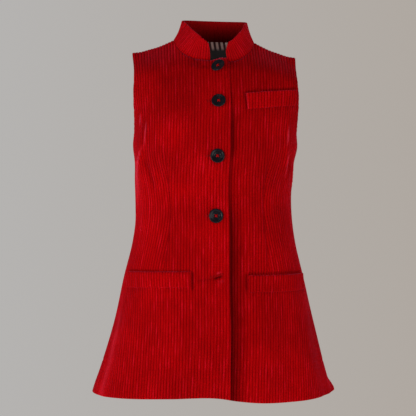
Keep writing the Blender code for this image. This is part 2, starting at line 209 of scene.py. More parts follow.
@dataclass(frozen=True)
class WornForm:
    """The rounded form of the worn vest, the same as the solids'.

    A level cut's columns are its height, half width, middle, front depth, back depth and squareness.
    """

    hem: float = -700.0
    cuts: tuple = (
        (-720, 242.0, -4.0, 169.0, 168.0, 2.10),
        (-700, 237.5, -4.0, 166.0, 165.0, 2.20),
        (-651, 222.5, -2.5, 159.0, 159.0, 2.20),
        (-567, 199.7, 0.0, 146.0, 145.0, 2.20),
        (-471, 177.7, -0.5, 129.0, 126.0, 2.20),
        (-399, 160.5, 0.0, 114.0, 108.0, 2.25),
        (-363, 155.5, 0.0, 110.0, 98.0, 2.30),
        (-330, 154.3, -1.0, 110.0, 94.0, 2.30),
        (-279, 155.6, -1.0, 118.0, 98.0, 2.35),
        (-243, 157.7, 1.0, 123.0, 103.0, 2.40),
        (-215, 162.5, 2.5, 121.0, 106.0, 2.45),
        (-187, 162.5, 3.0, 116.0, 106.0, 2.45),
        (-159, 167.0, 4.0, 108.0, 104.0, 2.50),
        (-99, 181.0, 4.0, 90.0, 96.0, 2.55),
        (-50, 178.0, 3.0, 68.0, 84.0, 2.60),
        (20, 176.0, 0.0, 46.0, 66.0, 2.60),
    )
    shoulder: tuple = ((79, 0.0), (95, -8.0), (108, -14.0), (132, -22.0), (163, -32.0))
    lean: float = 0.031
    lean_from: float = -300.0
    lean_over: float = 250.0

    def at(self, name: str, height: Grid) -> Grid:
        """One column of the level cuts at a height."""
        names = ("height", "half_width", "middle", "front", "back", "squareness")
        return curve(height, self.cuts, names.index(name))

    @property
    def tip(self) -> tuple:
        """The shoulder's tip: its place and its height."""
        return self.shoulder[-1]

    def leaned(self, points: Grid) -> Grid:
        """Gives points the worn vest's lean: its right shoulder sits higher.

        Args:
            points: points of the upright form.

        Returns:
            The points, leaned.
        """
        fade = smooth((points[..., 2] - self.lean_from) / self.lean_over)
        points = points.copy()
        points[..., 2] -= self.lean * points[..., 0] * fade
        return points


class LevelCuts:
    """The form's level cuts on one face, tabled so that a way round the body gives a point."""

    STEP = 4.0
    SHARES = 96
    TURNS = 361
    BELOW_HEM = 20
    TOP = 21
    INSIDE = 1.001

    def __init__(self, form: WornForm, depth: str) -> None:
        """Tables the cuts.

        Args:
            form: the worn form.
            depth: the column that gives the depth, front or back.
        """
        self.low = form.hem - self.BELOW_HEM
        turn = np.linspace(0, math.pi / 2, self.TURNS)
        share = np.linspace(0, 1, self.SHARES + 1)
        out, away, length = [], [], []
        for z in np.arange(self.low, self.TOP, self.STEP):
            power = 2 / form.at("squareness", z)
            x = form.at("half_width", z) * np.sin(turn) ** power
            y = form.at(depth, z) * np.cos(turn) ** power
            way = np.concatenate([[0], np.cumsum(np.hypot(np.diff(x), np.diff(y)))])
            out.append(np.interp(share * way[-1], way, x))
            away.append(np.interp(share * way[-1], way, y))
            length.append(way[-1])
        self.out, self.away, self.length = np.array(out), np.array(away), np.array(length)

    def mixed(self, table: Grid, height: Grid, share: Grid) -> Grid:
        """Reads a table between its four nearest entries.

        Args:
            table: the table, a row for each level.
            height: heights.
            share: shares of the way to the side seam.

        Returns:
            The table's value at each place.
        """
        row = np.clip((height - self.low) / self.STEP, 0, len(table) - self.INSIDE)
        column = np.clip(share, 0, 1) * self.SHARES
        i, j = row.astype(int), np.minimum(column.astype(int), self.SHARES - 1)
        p, q = row - i, column - j
        low = table[i, j] * (1 - q) + table[i, j + 1] * q
        high = table[i + 1, j] * (1 - q) + table[i + 1, j + 1] * q
        return low * (1 - p) + high * p

    def side(self, height: Grid) -> Grid:
        """The way from the middle to the side seam."""
        return np.interp(height, self.low + self.STEP * np.arange(len(self.length)), self.length)

    def point(self, way: Grid, height: Grid) -> tuple:
        """How far out and away the form is at a way round it."""
        share = way / self.side(height)
        return self.mixed(self.out, height, share), self.mixed(self.away, height, share)


# The shares of its length over which a fold fades in and out.
SOFT_START = 0.35
SOFT_END = 0.25


@dataclass(frozen=True)
class Fold:
    """A fold or crease, from one end to the other, out of the cloth or, below nought, into it."""

    from_u: float
    from_z: float
    to_u: float
    to_z: float
    width: float
    out: float
    soft: float = SOFT_START

    def lift(self, u: Grid, z: Grid, hem: float) -> Grid:
        """How far the fold moves each point out.

        Args:
            u: places round the body.
            z: heights.
            hem: the hem's height, past which a fold runs out without fading.

        Returns:
            The distance out at each point.
        """
        along = np.array([self.to_u - self.from_u, self.to_z - self.from_z], float)
        t = ((u - self.from_u) * along[0] + (z - self.from_z) * along[1]) / (along @ along)
        fades = float(self.to_z > hem)
        tail = SOFT_END if self.soft == SOFT_START else self.soft
        ends = smooth(t / self.soft) * (1 - smooth((t - 1 + tail) / tail) * fades)
        off = ((u - self.from_u) * along[1] - (z - self.from_z) * along[0]) / np.linalg.norm(along)
        return self.out * ends * np.exp(-((off / self.width) ** 2))


# The largest folds, which the solids have too: from and to, half width, height and softness of the ends.
FOLDS = {
    Piece.RIGHT_FRONT: (
        Fold(-148, -160, -172, -290, 10.0, 3.2),
        Fold(-128, -235, -108, -310, 14.0, -3.0),
        Fold(-52, -46, -24, -66, 5.0, -2.2),
        Fold(-120, -470, -135, -712, 26.0, -4.0),
        Fold(-215, -480, -262, -712, 24.0, -4.0),
    ),
    Piece.LEFT_FRONT: (
        Fold(47, -430, 56, -712, 13.0, -6.0),
        Fold(158, -160, 150, -290, 10.0, 3.0),
        Fold(176, -225, 182, -310, 8.0, 2.4),
        Fold(135, -470, 158, -712, 26.0, -4.0),
        Fold(225, -490, 262, -712, 22.0, -4.0),
    ),
    Piece.BACK: (
        Fold(-60, -420, -78, -712, 24.0, -5.0),
        Fold(52, -400, 60, -712, 24.0, -5.0),
        Fold(-170, -460, -195, -712, 26.0, -4.5),
        Fold(165, -450, 205, -712, 26.0, -4.5),
        Fold(-150, -150, -178, -290, 11.0, 3.0),
        Fold(152, -165, 176, -280, 11.0, 3.0),
    ),
}

# Finer creases, seams at the welts' edges and pulls at the buttonholes, in the same columns.
CREASES = {
    Piece.RIGHT_FRONT: (
        Fold(-10, -124, -52, -120, 3.6, -1.0, 0.45),
        Fold(-12, -236, -60, -231, 3.8, -1.1, 0.45),
        Fold(-12, -243, -44, -247, 3.0, -0.8, 0.45),
        Fold(-14, -351, -58, -354, 3.8, -1.0, 0.45),
        Fold(24, -100, 31, -712, 12.0, 1.6, 0.2),
        Fold(-138, -158, -145, -224, 3.8, 3.4, 0.4),
        Fold(-143, -204, -200, -294, 4.6, 3.8, 0.4),
        Fold(-154, -146, -161, -184, 2.8, 2.2, 0.4),
        Fold(-150, -236, -134, -314, 6.0, -3.2, 0.4),
        Fold(-168, -262, -150, -330, 6.0, -1.3, 0.45),
        Fold(-110, -300, -128, -352, 6.0, 1.2, 0.45),
        Fold(-174, -322, -146, -356, 5.0, 1.1, 0.45),
        Fold(-60, -372, -24, -400, 6.0, -0.9, 0.45),
        Fold(-200, -457.5, -40, -456.5, 2.4, -3.0, 0.04),
        Fold(-41, -455, -41, -494, 2.2, -2.0, 0.15),
        Fold(-6, -471.5, 18, -464, 3.0, -2.0, 0.3),
        Fold(-36, -475, 2, -471, 3.0, -1.2, 0.4),
        Fold(-4, -480, 24, -474, 3.4, 1.4, 0.4),
        Fold(0, -463, 18, -457, 3.2, 1.2, 0.4),
        Fold(-70, -520, -58, -640, 11.0, 1.3, 0.45),
        Fold(-188, -540, -205, -670, 10.0, 1.4, 0.45),
    ),
    Piece.LEFT_FRONT: (
        Fold(-44, -474, 24, -466, 7.0, -2.6, 0.4),
        Fold(38, -90, 46, -520, 10.0, -5.0, 0.3),
        Fold(47, -330, 41, -712, 13.0, -6.0, 0.3),
        Fold(152, -158, 146, -226, 3.6, 2.8, 0.4),
        Fold(146, -212, 169, -288, 4.2, 3.2, 0.4),
        Fold(178, -218, 227, -310, 4.4, 2.8, 0.4),
        Fold(188, -262, 172, -332, 6.0, -1.2, 0.45),
        Fold(128, -306, 146, -356, 6.0, 1.1, 0.45),
        Fold(64, -236, 92, -252, 5.0, -0.8, 0.45),
        Fold(56, -109.5, 162, -97, 2.0, -1.8, 0.04),
        Fold(55, -107, 60, -147, 2.0, -1.6, 0.15),
        Fold(62, -461, 214, -460, 2.4, -3.0, 0.04),
        Fold(63, -458, 63, -497, 2.2, -1.6, 0.15),
        Fold(60, -352, 96, -338, 5.0, -0.9, 0.45),
        Fold(98, -530, 92, -650, 11.0, 1.2, 0.45),
        Fold(196, -545, 214, -668, 10.0, 1.4, 0.45),
    ),
    Piece.BACK: (
        Fold(-150, -130, -172, -206, 5.0, 2.4, 0.4),
        Fold(150, -136, 170, -212, 5.0, 2.2, 0.4),
        Fold(-40, -40, 0, -52, 7.0, -2.1, 0.45),
        Fold(48, -46, 8, -60, 6.0, -1.7, 0.45),
        Fold(-60, -318, 52, -328, 9.0, -2.1, 0.45),
        Fold(-96, -352, -18, -362, 8.0, 1.8, 0.45),
        Fold(24, -350, 104, -346, 8.0, 1.8, 0.45),
        Fold(-150, -318, -112, -340, 6.0, 2.0, 0.45),
        Fold(148, -312, 112, -336, 6.0, 1.8, 0.45),
        Fold(-2, -520, -8, -680, 12.0, 2.1, 0.45),
        Fold(112, -560, 128, -690, 11.0, 1.8, 0.45),
        Fold(-120, -548, -134, -690, 11.0, 2.0, 0.45),
    ),
}


# Painted light and shade in strokes: painted shade on the chest, beside the over front's edge and along the
# welts and pocket mouths, and painted highlight and sheen along creases and ridges. Here a fold's height is
# how much lighter.
PAINTED_LIGHT_STROKES = {
    Piece.RIGHT_FRONT: (
        Fold(-70, -30, -95, -190, 60.0, -0.32, 0.4),
        Fold(-84, -180, -96, -440, 52.0, -0.06, 0.4),
        Fold(-47, -42, -27, -61, 3.2, -0.38, 0.3),
        Fold(-31, -61, -10, -65, 3.2, -0.36, 0.3),
        Fold(-14, -46, 30, -39, 3.0, 0.3, 0.1),
        Fold(-139, -158, -146, -224, 2.2, 0.42, 0.45),
        Fold(-143, -204, -200, -294, 2.8, 0.42, 0.45),
        Fold(-154, -146, -161, -184, 2.0, 0.38, 0.45),
        Fold(-184, -200, -206, -350, 17.0, 0.2, 0.4),
        Fold(-224, -500, -246, -712, 17.0, 0.16, 0.3),
        Fold(-150, -232, -134, -314, 6.0, -0.28, 0.4),
        Fold(-148, -160, -153, -200, 4.0, -0.22, 0.4),
        Fold(-200, -457, -40, -456, 2.8, -0.36, 0.04),
        Fold(-198, -493, -42, -491.5, 2.4, -0.2, 0.04),
        Fold(-40.5, -455, -40.5, -494, 2.4, -0.4, 0.12),
        Fold(-1, -470.5, 18, -464, 2.3, -0.8, 0.2),
        Fold(-36, -474, 2, -470, 2.2, -0.3, 0.3),
        Fold(2, -462, 16, -457, 2.6, 0.22, 0.4),
        Fold(2, -478, 24, -474, 3.0, 0.2, 0.4),
        Fold(-190, -640, -210, -712, 26.0, -0.1, 0.4),
    ),
    Piece.LEFT_FRONT: (
        Fold(30.5, -84, 35, -712, 4.0, -0.34, 0.1),
        Fold(96, 10, 88, -200, 70.0, -0.2, 0.4),
        Fold(84, -170, 96, -440, 56.0, -0.18, 0.4),
        Fold(32, -150, 36, -250, 6.0, -0.3, 0.3),
        Fold(36, -280, 42, -712, 15.0, -0.42, 0.3),
        Fold(146, -212, 169, -288, 2.6, 0.34, 0.45),
        Fold(152, -158, 146, -226, 2.4, 0.34, 0.45),
        Fold(178, -218, 227, -310, 2.6, 0.3, 0.45),
        Fold(162, -230, 190, -300, 5.0, -0.22, 0.4),
        Fold(54, -109.5, 164, -96.5, 2.6, -0.36, 0.04),
        Fold(54, -106, 58.5, -148, 2.4, -0.3, 0.12),
        Fold(60, -145.5, 164, -133, 2.4, -0.22, 0.04),
        Fold(62, -460.5, 214, -459.5, 2.8, -0.34, 0.04),
        Fold(64, -496.5, 214, -495.5, 2.4, -0.2, 0.04),
        Fold(62, -458, 62, -497, 2.2, -0.3, 0.12),
    ),
    Piece.BACK: (
        Fold(-92, -60, -104, -200, 42.0, -0.1, 0.4),
        Fold(84, -70, 100, -210, 36.0, -0.08, 0.4),
        Fold(62, -420, 84, -650, 32.0, 0.12, 0.4),
        Fold(-112, -440, -134, -700, 26.0, 0.12, 0.4),
        Fold(-30, -300, 20, -400, 52.0, -0.1, 0.4),
    ),
}


@dataclass
class ClothPanel:
    """The cloth of one front or of the back: where each place of it lies on the worn form.

    A table's first column is a place or a height, and its second is the value there.
    """

    piece: Piece
    form: WornForm
    cuts: LevelCuts
    cloth: Corduroy
    dart_place: float

    # The neckline, and the tab that rises at the over front's end.
    neck_half: float = 79.0
    neck_y: float = 8.0
    neck_front_drop: float = 48.0
    neck_round: float = 2.6
    tab_rise: float = 7.0
    tab_from: float = -12.0
    tab_over: float = 26.0

    # The back's neckline, and how the cloth turns over the shoulders.
    neck_back_rise: float = 4.0
    neck_back_share: float = 0.62
    neck_back_round: float = 2.2
    crest_depth: float = 60.0
    crest_front_dip: float = 8.0
    crest_fade: float = 22.0

    # The side and shoulder seams and the armhole.
    seam_gap: float = -0.2
    shoulder_gap: float = 0.6
    underarm_share: float = 0.735
    armhole_rise: float = 0.5
    armhole_round: float = 1.48

    # The overlap at the middle of the fronts.
    over_out: float = 1.7
    under_in: float = 1.9
    under_edge: float = -16.0
    under_from: float = 36.0
    blend: float = 28.0

    # The dart.
    dart: tuple = (
        (-455, 0.0), (-430, 5.0), (-380, 16.0), (-330, 22.0), (-290, 16.0), (-245, 3.0), (-225, 0.0),
    )
    dart_zone: float = 48.0
    dart_seam: float = 2.6
    dart_groove: float = 1.7
    dart_deep: float = 5.0
    dart_rounds: int = 24

    # The over front's edge, the hem and its corner.
    edge: tuple = ((-700, 35.0), (-560, 31.0), (-300, 29.5), (-120, 28.5), (-48, 25.0))
    hem_hang: tuple = (
        (-240, 0.0), (-150, 2.5), (-80, 5.5), (20, 6.5), (45, 2.5), (80, -1.5), (150, -3.5), (260, 0.0),
    )
    hem_turn: float = 62.0
    hem_groove: float = 0.7
    hem_groove_half: float = 2.2
    corner_flip: float = 7.0
    corner_wide: float = 26.0
    corner_high: float = 30.0
    corner_soft: float = 24.0

    # The shoulder's tip, and the painted shade along the seam under the collar.
    tip_flare: float = 3.4
    tip_wide: float = 11.0
    tip_high: float = 12.0
    free_edge: tuple = (-9.0, 26.0)
    seam_painted_shade: float = 0.5
    seam_half: float = 2.0

    # How far apart the slopes are felt, and what counts as on the shoulder seam.
    feel_across: float = 0.6
    feel_up: float = 0.004
    top_row: float = 0.9999
    neck_slack: float = 0.01

    def __post_init__(self) -> None:
        """Works out the values that follow from the sizes."""
        self.face = 1 if self.piece is Piece.BACK else -1
        self.crest_soft = (14.0, 44.0) if self.piece is Piece.BACK else (-3.0, 29.0)
        self.underarm = self.form.hem + self.underarm_share * (self.form.tip[1] - self.form.hem)
        self.armhole_end = float(self.cuts.side(self.underarm))

    def shoulder(self, u: Grid) -> Grid:
        """The height of the shoulder seam."""
        return curve(np.abs(u), self.form.shoulder)

    def top(self, u: Grid) -> Grid:
        """The height of the cloth's own top edge: the neckline, then the shoulder seam.

        Args:
            u: places round the body.

        Returns:
            The height at each place.
        """
        drop = np.sqrt(1 - np.clip(np.abs(u) / self.neck_half, 0, 1) ** self.neck_round)
        if self.face > 0:
            return self.shoulder(u) + self.neck_back_rise * drop
        tab = smooth((u - self.tab_from) / self.tab_over) * (self.piece is Piece.RIGHT_FRONT)
        return self.shoulder(u) - self.neck_front_drop * drop + self.tab_rise * tab

    def crest(self, u: Grid, height: Grid) -> Grid:
        """The height of the line where the cloth would turn over the shoulders and neck.

        Args:
            u: places round the body.
            height: heights.

        Returns:
            The line's height, as it is felt at each place.
        """
        across = np.clip(np.abs(u) / self.neck_half, 0, 1)
        middle, fall = self.crest_soft
        soft = middle - fall * (np.abs(u) / self.form.tip[0]) ** 2
        if self.face < 0:
            edge = self.shoulder(u) - self.crest_front_dip * (1 - across**2)
        else:
            neck = np.arcsin(self.neck_back_share * np.sqrt(1 - across**self.neck_back_round))
            edge = self.top(u) + neck * self.crest_depth * 2 / math.pi
        near = np.exp(-np.maximum(self.top(u) - height, 0) / self.crest_fade)
        return soft + (edge - soft) * near

    def taken(self, height: Grid) -> Grid:
        """The cloth that the dart takes in at a height."""
        return np.maximum(curve(height, self.dart), 0)

    def intake(self, u: Grid, height: Grid) -> Grid:
        """How much nearer the middle a place lies for the dart's stitching."""
        taken = self.taken(height)
        return taken * np.clip((np.abs(u) - self.dart_place) / (taken + self.dart_seam) + 0.5, 0, 1)

    def dart_line(self, u: Grid, height: Grid) -> Grid:
        """Marks the dart's seam, as deep as the dart is wide.

        Args:
            u: places round the body.
            height: heights.

        Returns:
            1 on the seam, and 0 away from it.
        """
        taken = self.taken(height)
        off = np.abs(u) - self.intake(u, height) - (self.dart_place - taken / 2)
        return np.exp(-((off / self.dart_seam) ** 2)) * smooth(taken / self.dart_deep)

    def side_seam(self, height: Grid) -> Grid:
        """The way round to the side seam, with the dart's cloth."""
        return self.cuts.side(height) + self.taken(height)

    def armhole(self, height: Grid) -> Grid:
        """The way round to the armhole's edge above the underarm.

        Args:
            height: heights.

        Returns:
            The way at each height.
        """
        tip = self.form.tip
        risen = np.clip((height - self.underarm) / (tip[1] - self.underarm), 0, 1)
        curved = (1 - risen**self.armhole_rise) ** self.armhole_round
        return tip[0] + (self.armhole_end - tip[0]) * curved

    def outline(self, height: Grid) -> Grid:
        """How far round the cloth reaches at a height, a hair over the seam."""
        reach = np.where(height > self.underarm, self.armhole(height), self.side_seam(height))
        return reach - self.seam_gap / 2

    def ends(self, share: Grid) -> tuple:
        """Where each row starts and stops.

        Args:
            share: the rows, as shares of the cloth's length from the hem up.

        Returns:
            The first place and the last place of each row.
        """
        height = self.form.hem + share * (self.form.tip[1] - self.form.hem)
        reach = self.outline(height)
        if self.piece is Piece.BACK:
            return -reach, reach
        if self.piece is Piece.RIGHT_FRONT:
            return -reach, curve(height, self.edge)
        return np.full_like(reach, self.under_edge), reach

    def height(self, u: Grid, share: Grid) -> Grid:
        """The height of a place on a row."""
        hang = 0.0 if self.face > 0 else curve(u, self.hem_hang)
        return self.form.hem + share * (self.top(u) - self.form.hem) + hang * (1 - share) ** 2

    def share_at(self, u: Grid, height: Grid) -> Grid:
        """The row that passes a height at a place."""
        return (height - self.form.hem) / (self.top(u) - self.form.hem)

    def form_point(self, u: Grid, share: Grid) -> Grid:
        """A point of the form's own surface, before folds.

        Args:
            u: places round the body.
            share: rows, as shares of the length.

        Returns:
            The points, in millimetres.
        """
        height = self.height(u, share)
        x, y = self.cuts.point(np.abs(u) - self.intake(u, height), height)
        x = np.sign(u) * x + self.form.at("middle", height)
        turned = np.sin(math.pi / 2 * np.clip((self.crest(u, height) - height) / self.crest_depth, 0, 1))
        x = u + (x - u) * turned
        y = self.neck_y + (self.face * y - self.neck_y) * turned
        return np.stack([x, y, height], axis=-1)

    def on_shoulder(self, u: Grid, share: Grid) -> Grid:
        """Whether a place is on the shoulder seam."""
        return (share > self.top_row) & (np.abs(u) >= self.neck_half - self.neck_slack)

    def normal(self, u: Grid, share: Grid) -> Grid:
        """The way out of the cloth.

        Args:
            u: places round the body.
            share: rows, as shares of the length.

        Returns:
            A direction of length one at each place.
        """
        step = self.feel_across
        across = self.form_point(u + step, share) - self.form_point(u - step, share)
        up = self.form_point(u, share) - self.form_point(u, share - self.feel_up)
        out = np.cross(across, up) * -self.face
        out /= np.linalg.norm(out, axis=-1, keepdims=True)
        return np.where(self.on_shoulder(u, share)[..., None], np.array([0.0, 0.0, 1.0]), out)

    def uncrushed(self, u: Grid, height: Grid) -> Grid:
        """The place that would lie here if the dart were eased in softly, as the solids have it.

        Args:
            u: places round the body.
            height: heights.

        Returns:
            The eased place of each one.
        """
        way = np.abs(u) - self.intake(u, height)
        taken, eased = self.taken(height), way
        for _ in range(self.dart_rounds):
            eased = way + taken * smooth((eased - self.dart_place) / self.dart_zone + 0.5)
        return np.sign(u) * eased

    def lift(self, u: Grid, height: Grid) -> Grid:
        """How far the cloth stands out of the form: the overlap, folds, creases, darts and hem.

        Args:
            u: places round the body.
            height: heights.

        Returns:
            The distance out at each place.
        """
        out = np.zeros_like(height)
        if self.piece is Piece.RIGHT_FRONT:
            out += self.over_out * smooth((u - self.under_edge + self.blend) / self.blend)
        if self.piece is Piece.LEFT_FRONT:
            out -= self.under_in * (1 - smooth((u - self.under_from) / self.blend))
        eased = self.uncrushed(u, height)
        for fold in FOLDS[self.piece] + CREASES[self.piece]:
            out += fold.lift(eased, height, self.form.hem)
        out -= self.dart_groove * self.dart_line(u, height)
        from_turn = height - self.form.hem - self.hem_turn
        out -= self.hem_groove * np.exp(-((from_turn / self.hem_groove_half) ** 2))
        past_tip = (np.abs(u) - self.form.tip[0]) / self.tip_wide
        above_tip = (height - self.form.tip[1]) / self.tip_high
        out += self.tip_flare * np.exp(-(past_tip**2) - above_tip**2)
        if self.piece is not Piece.RIGHT_FRONT:
            edge = smooth((u - self.side_seam(height) + self.corner_wide) / self.corner_wide)
            low = smooth((self.form.hem + self.corner_high - height) / self.corner_soft)
            out += self.corner_flip * edge * low
        return out

    def tone(self, u: Grid, height: Grid) -> Grid:
        """The painted light and shade on the pile.

        Args:
            u: places round the body.
            height: heights.

        Returns:
            1 for plain pile, less where shade is painted and more where light or sheen is painted.
        """
        tone = np.ones_like(height)
        for stroke in PAINTED_LIGHT_STROKES[self.piece]:
            tone += stroke.lift(u, height, self.form.hem)
        # Painted shade along the neckline seam under the collar, but not at the fronts' free ends.
        sewn = (np.abs(u) < self.neck_half) & ((u < self.free_edge[0]) | (u > self.free_edge[1]))
        return tone - self.seam_painted_shade * sewn * np.exp(-(((self.top(u) - height) / self.seam_half) ** 2))

    def point(self, u: Grid, share: Grid, out: Grid | float = 0.0) -> Grid:
        """A point of the cloth's outside, moved out by a distance.

        Args:
            u: places round the body.
            share: rows, as shares of the length from the hem up.
            out: how far to move each point out.

        Returns:
            The points, in millimetres.
        """
        u, share = np.broadcast_arrays(np.asarray(u, float), np.asarray(share, float))
        place = self.form_point(u, share)
        push = self.lift(u, place[..., 2]) + out
        place = place + self.normal(u, share) * push[..., None]
        apart = self.face * self.seam_gap * self.shoulder_gap
        place[..., 1] += np.where(self.on_shoulder(u, share), apart, 0.0)
        return self.form.leaned(place)


def cloth_wall(
    name: str, outer: Grid, inner: Grid, places: Grid, tones: tuple = (1.0, 1.0)
) -> bpy.types.Object:
    """A closed wall of cloth between an outer and an inner grid of points.

    Args:
        name: the piece's name.
        outer: rows of points of the outside, in millimetres.
        inner: rows of points of the inside, in millimetres.
        places: for each point, its place across the wales and along them, in metres.
        tones: the painted light and shade on the outside and on the inside.

    Returns:
        The piece, with the cloth's places as an attribute that its finish reads.
    """
    rows, columns = outer.shape[:2]
    mesh = bmesh.new()
    bmesh.ops.create_grid(mesh, x_segments=columns - 1, y_segments=rows - 1, size=1.0)
    layer = mesh.verts.layers.float_vector.new(CLOTH_PLACE)
    # Painted light and shade, in the attribute named nap.
    nap = mesh.verts.layers.float.new(CLOTH_PAINTED_LIGHT)
    face_tone, wrong_tone = (np.broadcast_to(tone, (rows, columns)).ravel() for tone in tones)
    number = mesh.verts.layers.int.new("number")
    points, wrong = outer.reshape(-1, 3) * MM, inner.reshape(-1, 3) * MM
    for k, (vert, point, place) in enumerate(zip(mesh.verts, points, places.reshape(-1, 2))):
        vert.co = point
        vert[layer] = (place[0], place[1], Side.FACE.value)
        vert[nap] = face_tone[k]
        vert[number] = k
    bmesh.ops.remove_doubles(mesh, verts=mesh.verts[:], dist=SAME_POINT)
    for edge in mesh.edges:
        edge.smooth = not edge.is_boundary
    made = bmesh.ops.extrude_face_region(mesh, geom=mesh.faces[:], use_keep_orig=True)
    for item in made["geom"]:
        if isinstance(item, bmesh.types.BMVert):
            item.co = wrong[item[number]]
            item[nap] = wrong_tone[item[number]]
            item[layer] = (item[layer][0], item[layer][1], Side.WRONG.value)
    bmesh.ops.recalc_face_normals(mesh, faces=mesh.faces[:])
    mesh.verts.layers.int.remove(number)
    return finished(name, mesh)


def finished(name: str, mesh: bmesh.types.BMesh) -> bpy.types.Object:
    """Makes a smooth object of a mesh, at the origin.

    Args:
        name: the piece's name.
        mesh: the mesh, which is freed.

    Returns:
        The object, in the scene.
    """
    for face in mesh.faces:
        face.smooth = True
    data = bpy.data.meshes.new(name)
    mesh.to_mesh(data)
    mesh.free()
    made = bpy.data.objects.new(name, data)
    bpy.context.scene.collection.objects.link(made)
    return made


def report(piece: bpy.types.Object) -> None:
    """Logs a piece with its number of faces."""
    log.info("%s: %d faces", piece.name, len(piece.data.polygons))


class Nodes:
    """A short hand for joining shader nodes."""

    def __init__(self, name: str) -> None:
        """Starts a material with a Principled shader.

        Args:
            name: the material's name.
        """
        self.material = bpy.data.materials.new(name)
        self.material.use_nodes = True
        self.tree = self.material.node_tree
        self.shader = self.tree.nodes["Principled BSDF"]

    def add(self, kind: str, **settings: object) -> bpy.types.Node:
        """Adds a node.

        Args:
            kind: the node's type.
            settings: its properties.

        Returns:
            The node.
        """
        node = self.tree.nodes.new(kind)
        for key, value in settings.items():
            setattr(node, key, value)
        return node

    def join(self, source: bpy.types.NodeSocket, target: bpy.types.NodeSocket) -> None:
        """Links two sockets."""
        self.tree.links.new(source, target)

    def feed(self, socket: bpy.types.NodeSocket, value: object) -> None:
        """Gives a socket a link or a value.

        Args:
            socket: the socket that takes it.
            value: another node's socket, or a value.
        """
        if isinstance(value, bpy.types.NodeSocket):
            self.join(value, socket)
        else:
            socket.default_value = value

    def maths(self, operation: str, a: object, b: object = 0.0) -> bpy.types.NodeSocket:
        """Adds a Math node.

        Args:
            operation: what it works out.
            a: its first value.
            b: its second value.

        Returns:
            Its result.
        """
        node = self.add("ShaderNodeMath", operation=operation)
        self.feed(node.inputs[0], a)
        self.feed(node.inputs[1], b)
        return node.outputs[0]

    def ramp(self, value: object, low: float, high: float, start: float, stop: float) -> bpy.types.NodeSocket:
        """Adds a soft step from one value to another.

        Args:
            value: what is read.
            low: where the step starts.
            high: where it ends.
            start: the result before it.
            stop: the result after it.

        Returns:
            The result.
        """
        node = self.add("ShaderNodeMapRange", interpolation_type="SMOOTHSTEP")
        keys = ("Value", "From Min", "From Max", "To Min", "To Max")
        for key, given in zip(keys, (value, low, high, start, stop)):
            self.feed(node.inputs[key], given)
        return node.outputs["Result"]

    def blend(self, factor: object, low: object, high: object, way: str = "MIX") -> bpy.types.NodeSocket:
        """Adds a mix of two colours.

        Args:
            factor: the share of the second.
            low: the first colour.
            high: the second colour.
            way: how they mix.

        Returns:
            The mixed colour.
        """
        node = self.add("ShaderNodeMix", data_type="RGBA", blend_type=way)
        self.feed(node.inputs[MIX_FACTOR], factor)
        self.feed(node.inputs[MIX_FIRST], low)
        self.feed(node.inputs[MIX_SECOND], high)
        return node.outputs[MIX_RESULT]

    def noise(self, vector: bpy.types.NodeSocket, scale: float, detail: float) -> bpy.types.NodeSocket:
        """Adds a noise.

        Args:
            vector: the place that it is read at.
            scale: how often it changes.
            detail: how fine its finest part is.

        Returns:
            The noise's value.
        """
        node = self.add("ShaderNodeTexNoise")
        self.join(vector, node.inputs["Vector"])
        node.inputs["Scale"].default_value = scale
        node.inputs["Detail"].default_value = detail
        return node.outputs["Fac"]

    def vector(self, x: object, y: object, z: object) -> bpy.types.NodeSocket:
        """Joins three values to a vector.

        Args:
            x: the first.
            y: the second.
            z: the third.

        Returns:
            The vector.
        """
        node = self.add("ShaderNodeCombineXYZ")
        for socket, value in zip(node.inputs, (x, y, z)):
            self.feed(socket, value)
        return node.outputs[0]

    def cloth_place(self) -> tuple:
        """Reads the cloth's own place.

        Returns:
            The place across the wales and along them, and the side.
        """
        place = self.add("ShaderNodeAttribute", attribute_name=CLOTH_PLACE)
        parts = self.add("ShaderNodeSeparateXYZ")
        self.join(place.outputs["Vector"], parts.inputs[0])
        return tuple(parts.outputs)

    def grain(self, place: tuple, scales: tuple, third: object, detail: float) -> bpy.types.NodeSocket:
        """A noise that is drawn out along the wales.

        Args:
            place: the place across the wales and along them.
            scales: how often it changes across and along, for each unit of place.
            third: the noise's third coordinate.
            detail: how fine its finest part is.

        Returns:
            The noise's value.
        """
        across, along = (self.maths("MULTIPLY", way, scale) for way, scale in zip(place, scales))
        return self.noise(self.vector(across, along, third), 1.0, detail)

    def from_middle(self, turns: bpy.types.NodeSocket) -> bpy.types.NodeSocket:
        """How far a place lies from the middle of its stripe or wale, from 0 to a half."""
        return self.maths("ABSOLUTE", self.maths("SUBTRACT", self.maths("FRACT", turns), 0.5))

    def shaded(self, colour: bpy.types.NodeSocket, shade: bpy.types.NodeSocket) -> None:
        """Gives the shader a colour times a grey.

        Args:
            colour: the colour.
            shade: how light it is.
        """
        grey = self.add("ShaderNodeCombineColor")
        for socket in grey.inputs:
            self.join(shade, socket)
        self.join(self.blend(1.0, colour, grey.outputs[0], "MULTIPLY"), self.shader.inputs["Base Color"])

    def bump(self, height: bpy.types.NodeSocket, strength: float, distance: float) -> None:
        """Gives the shader's surface a bump.

        Args:
            height: the bump's height.
            strength: its strength.
            distance: its depth in metres.
        """
        node = self.add("ShaderNodeBump")
        node.inputs["Strength"].default_value = strength
        node.inputs["Distance"].default_value = distance
        self.join(height, node.inputs["Height"])
        self.join(node.outputs["Normal"], self.shader.inputs["Normal"])

    def set(self, **sockets: object) -> None:
        """Sets the shader's own sockets, named with _ for a space."""
        for key, value in sockets.items():
            self.shader.inputs[key.replace("_", " ")].default_value = value


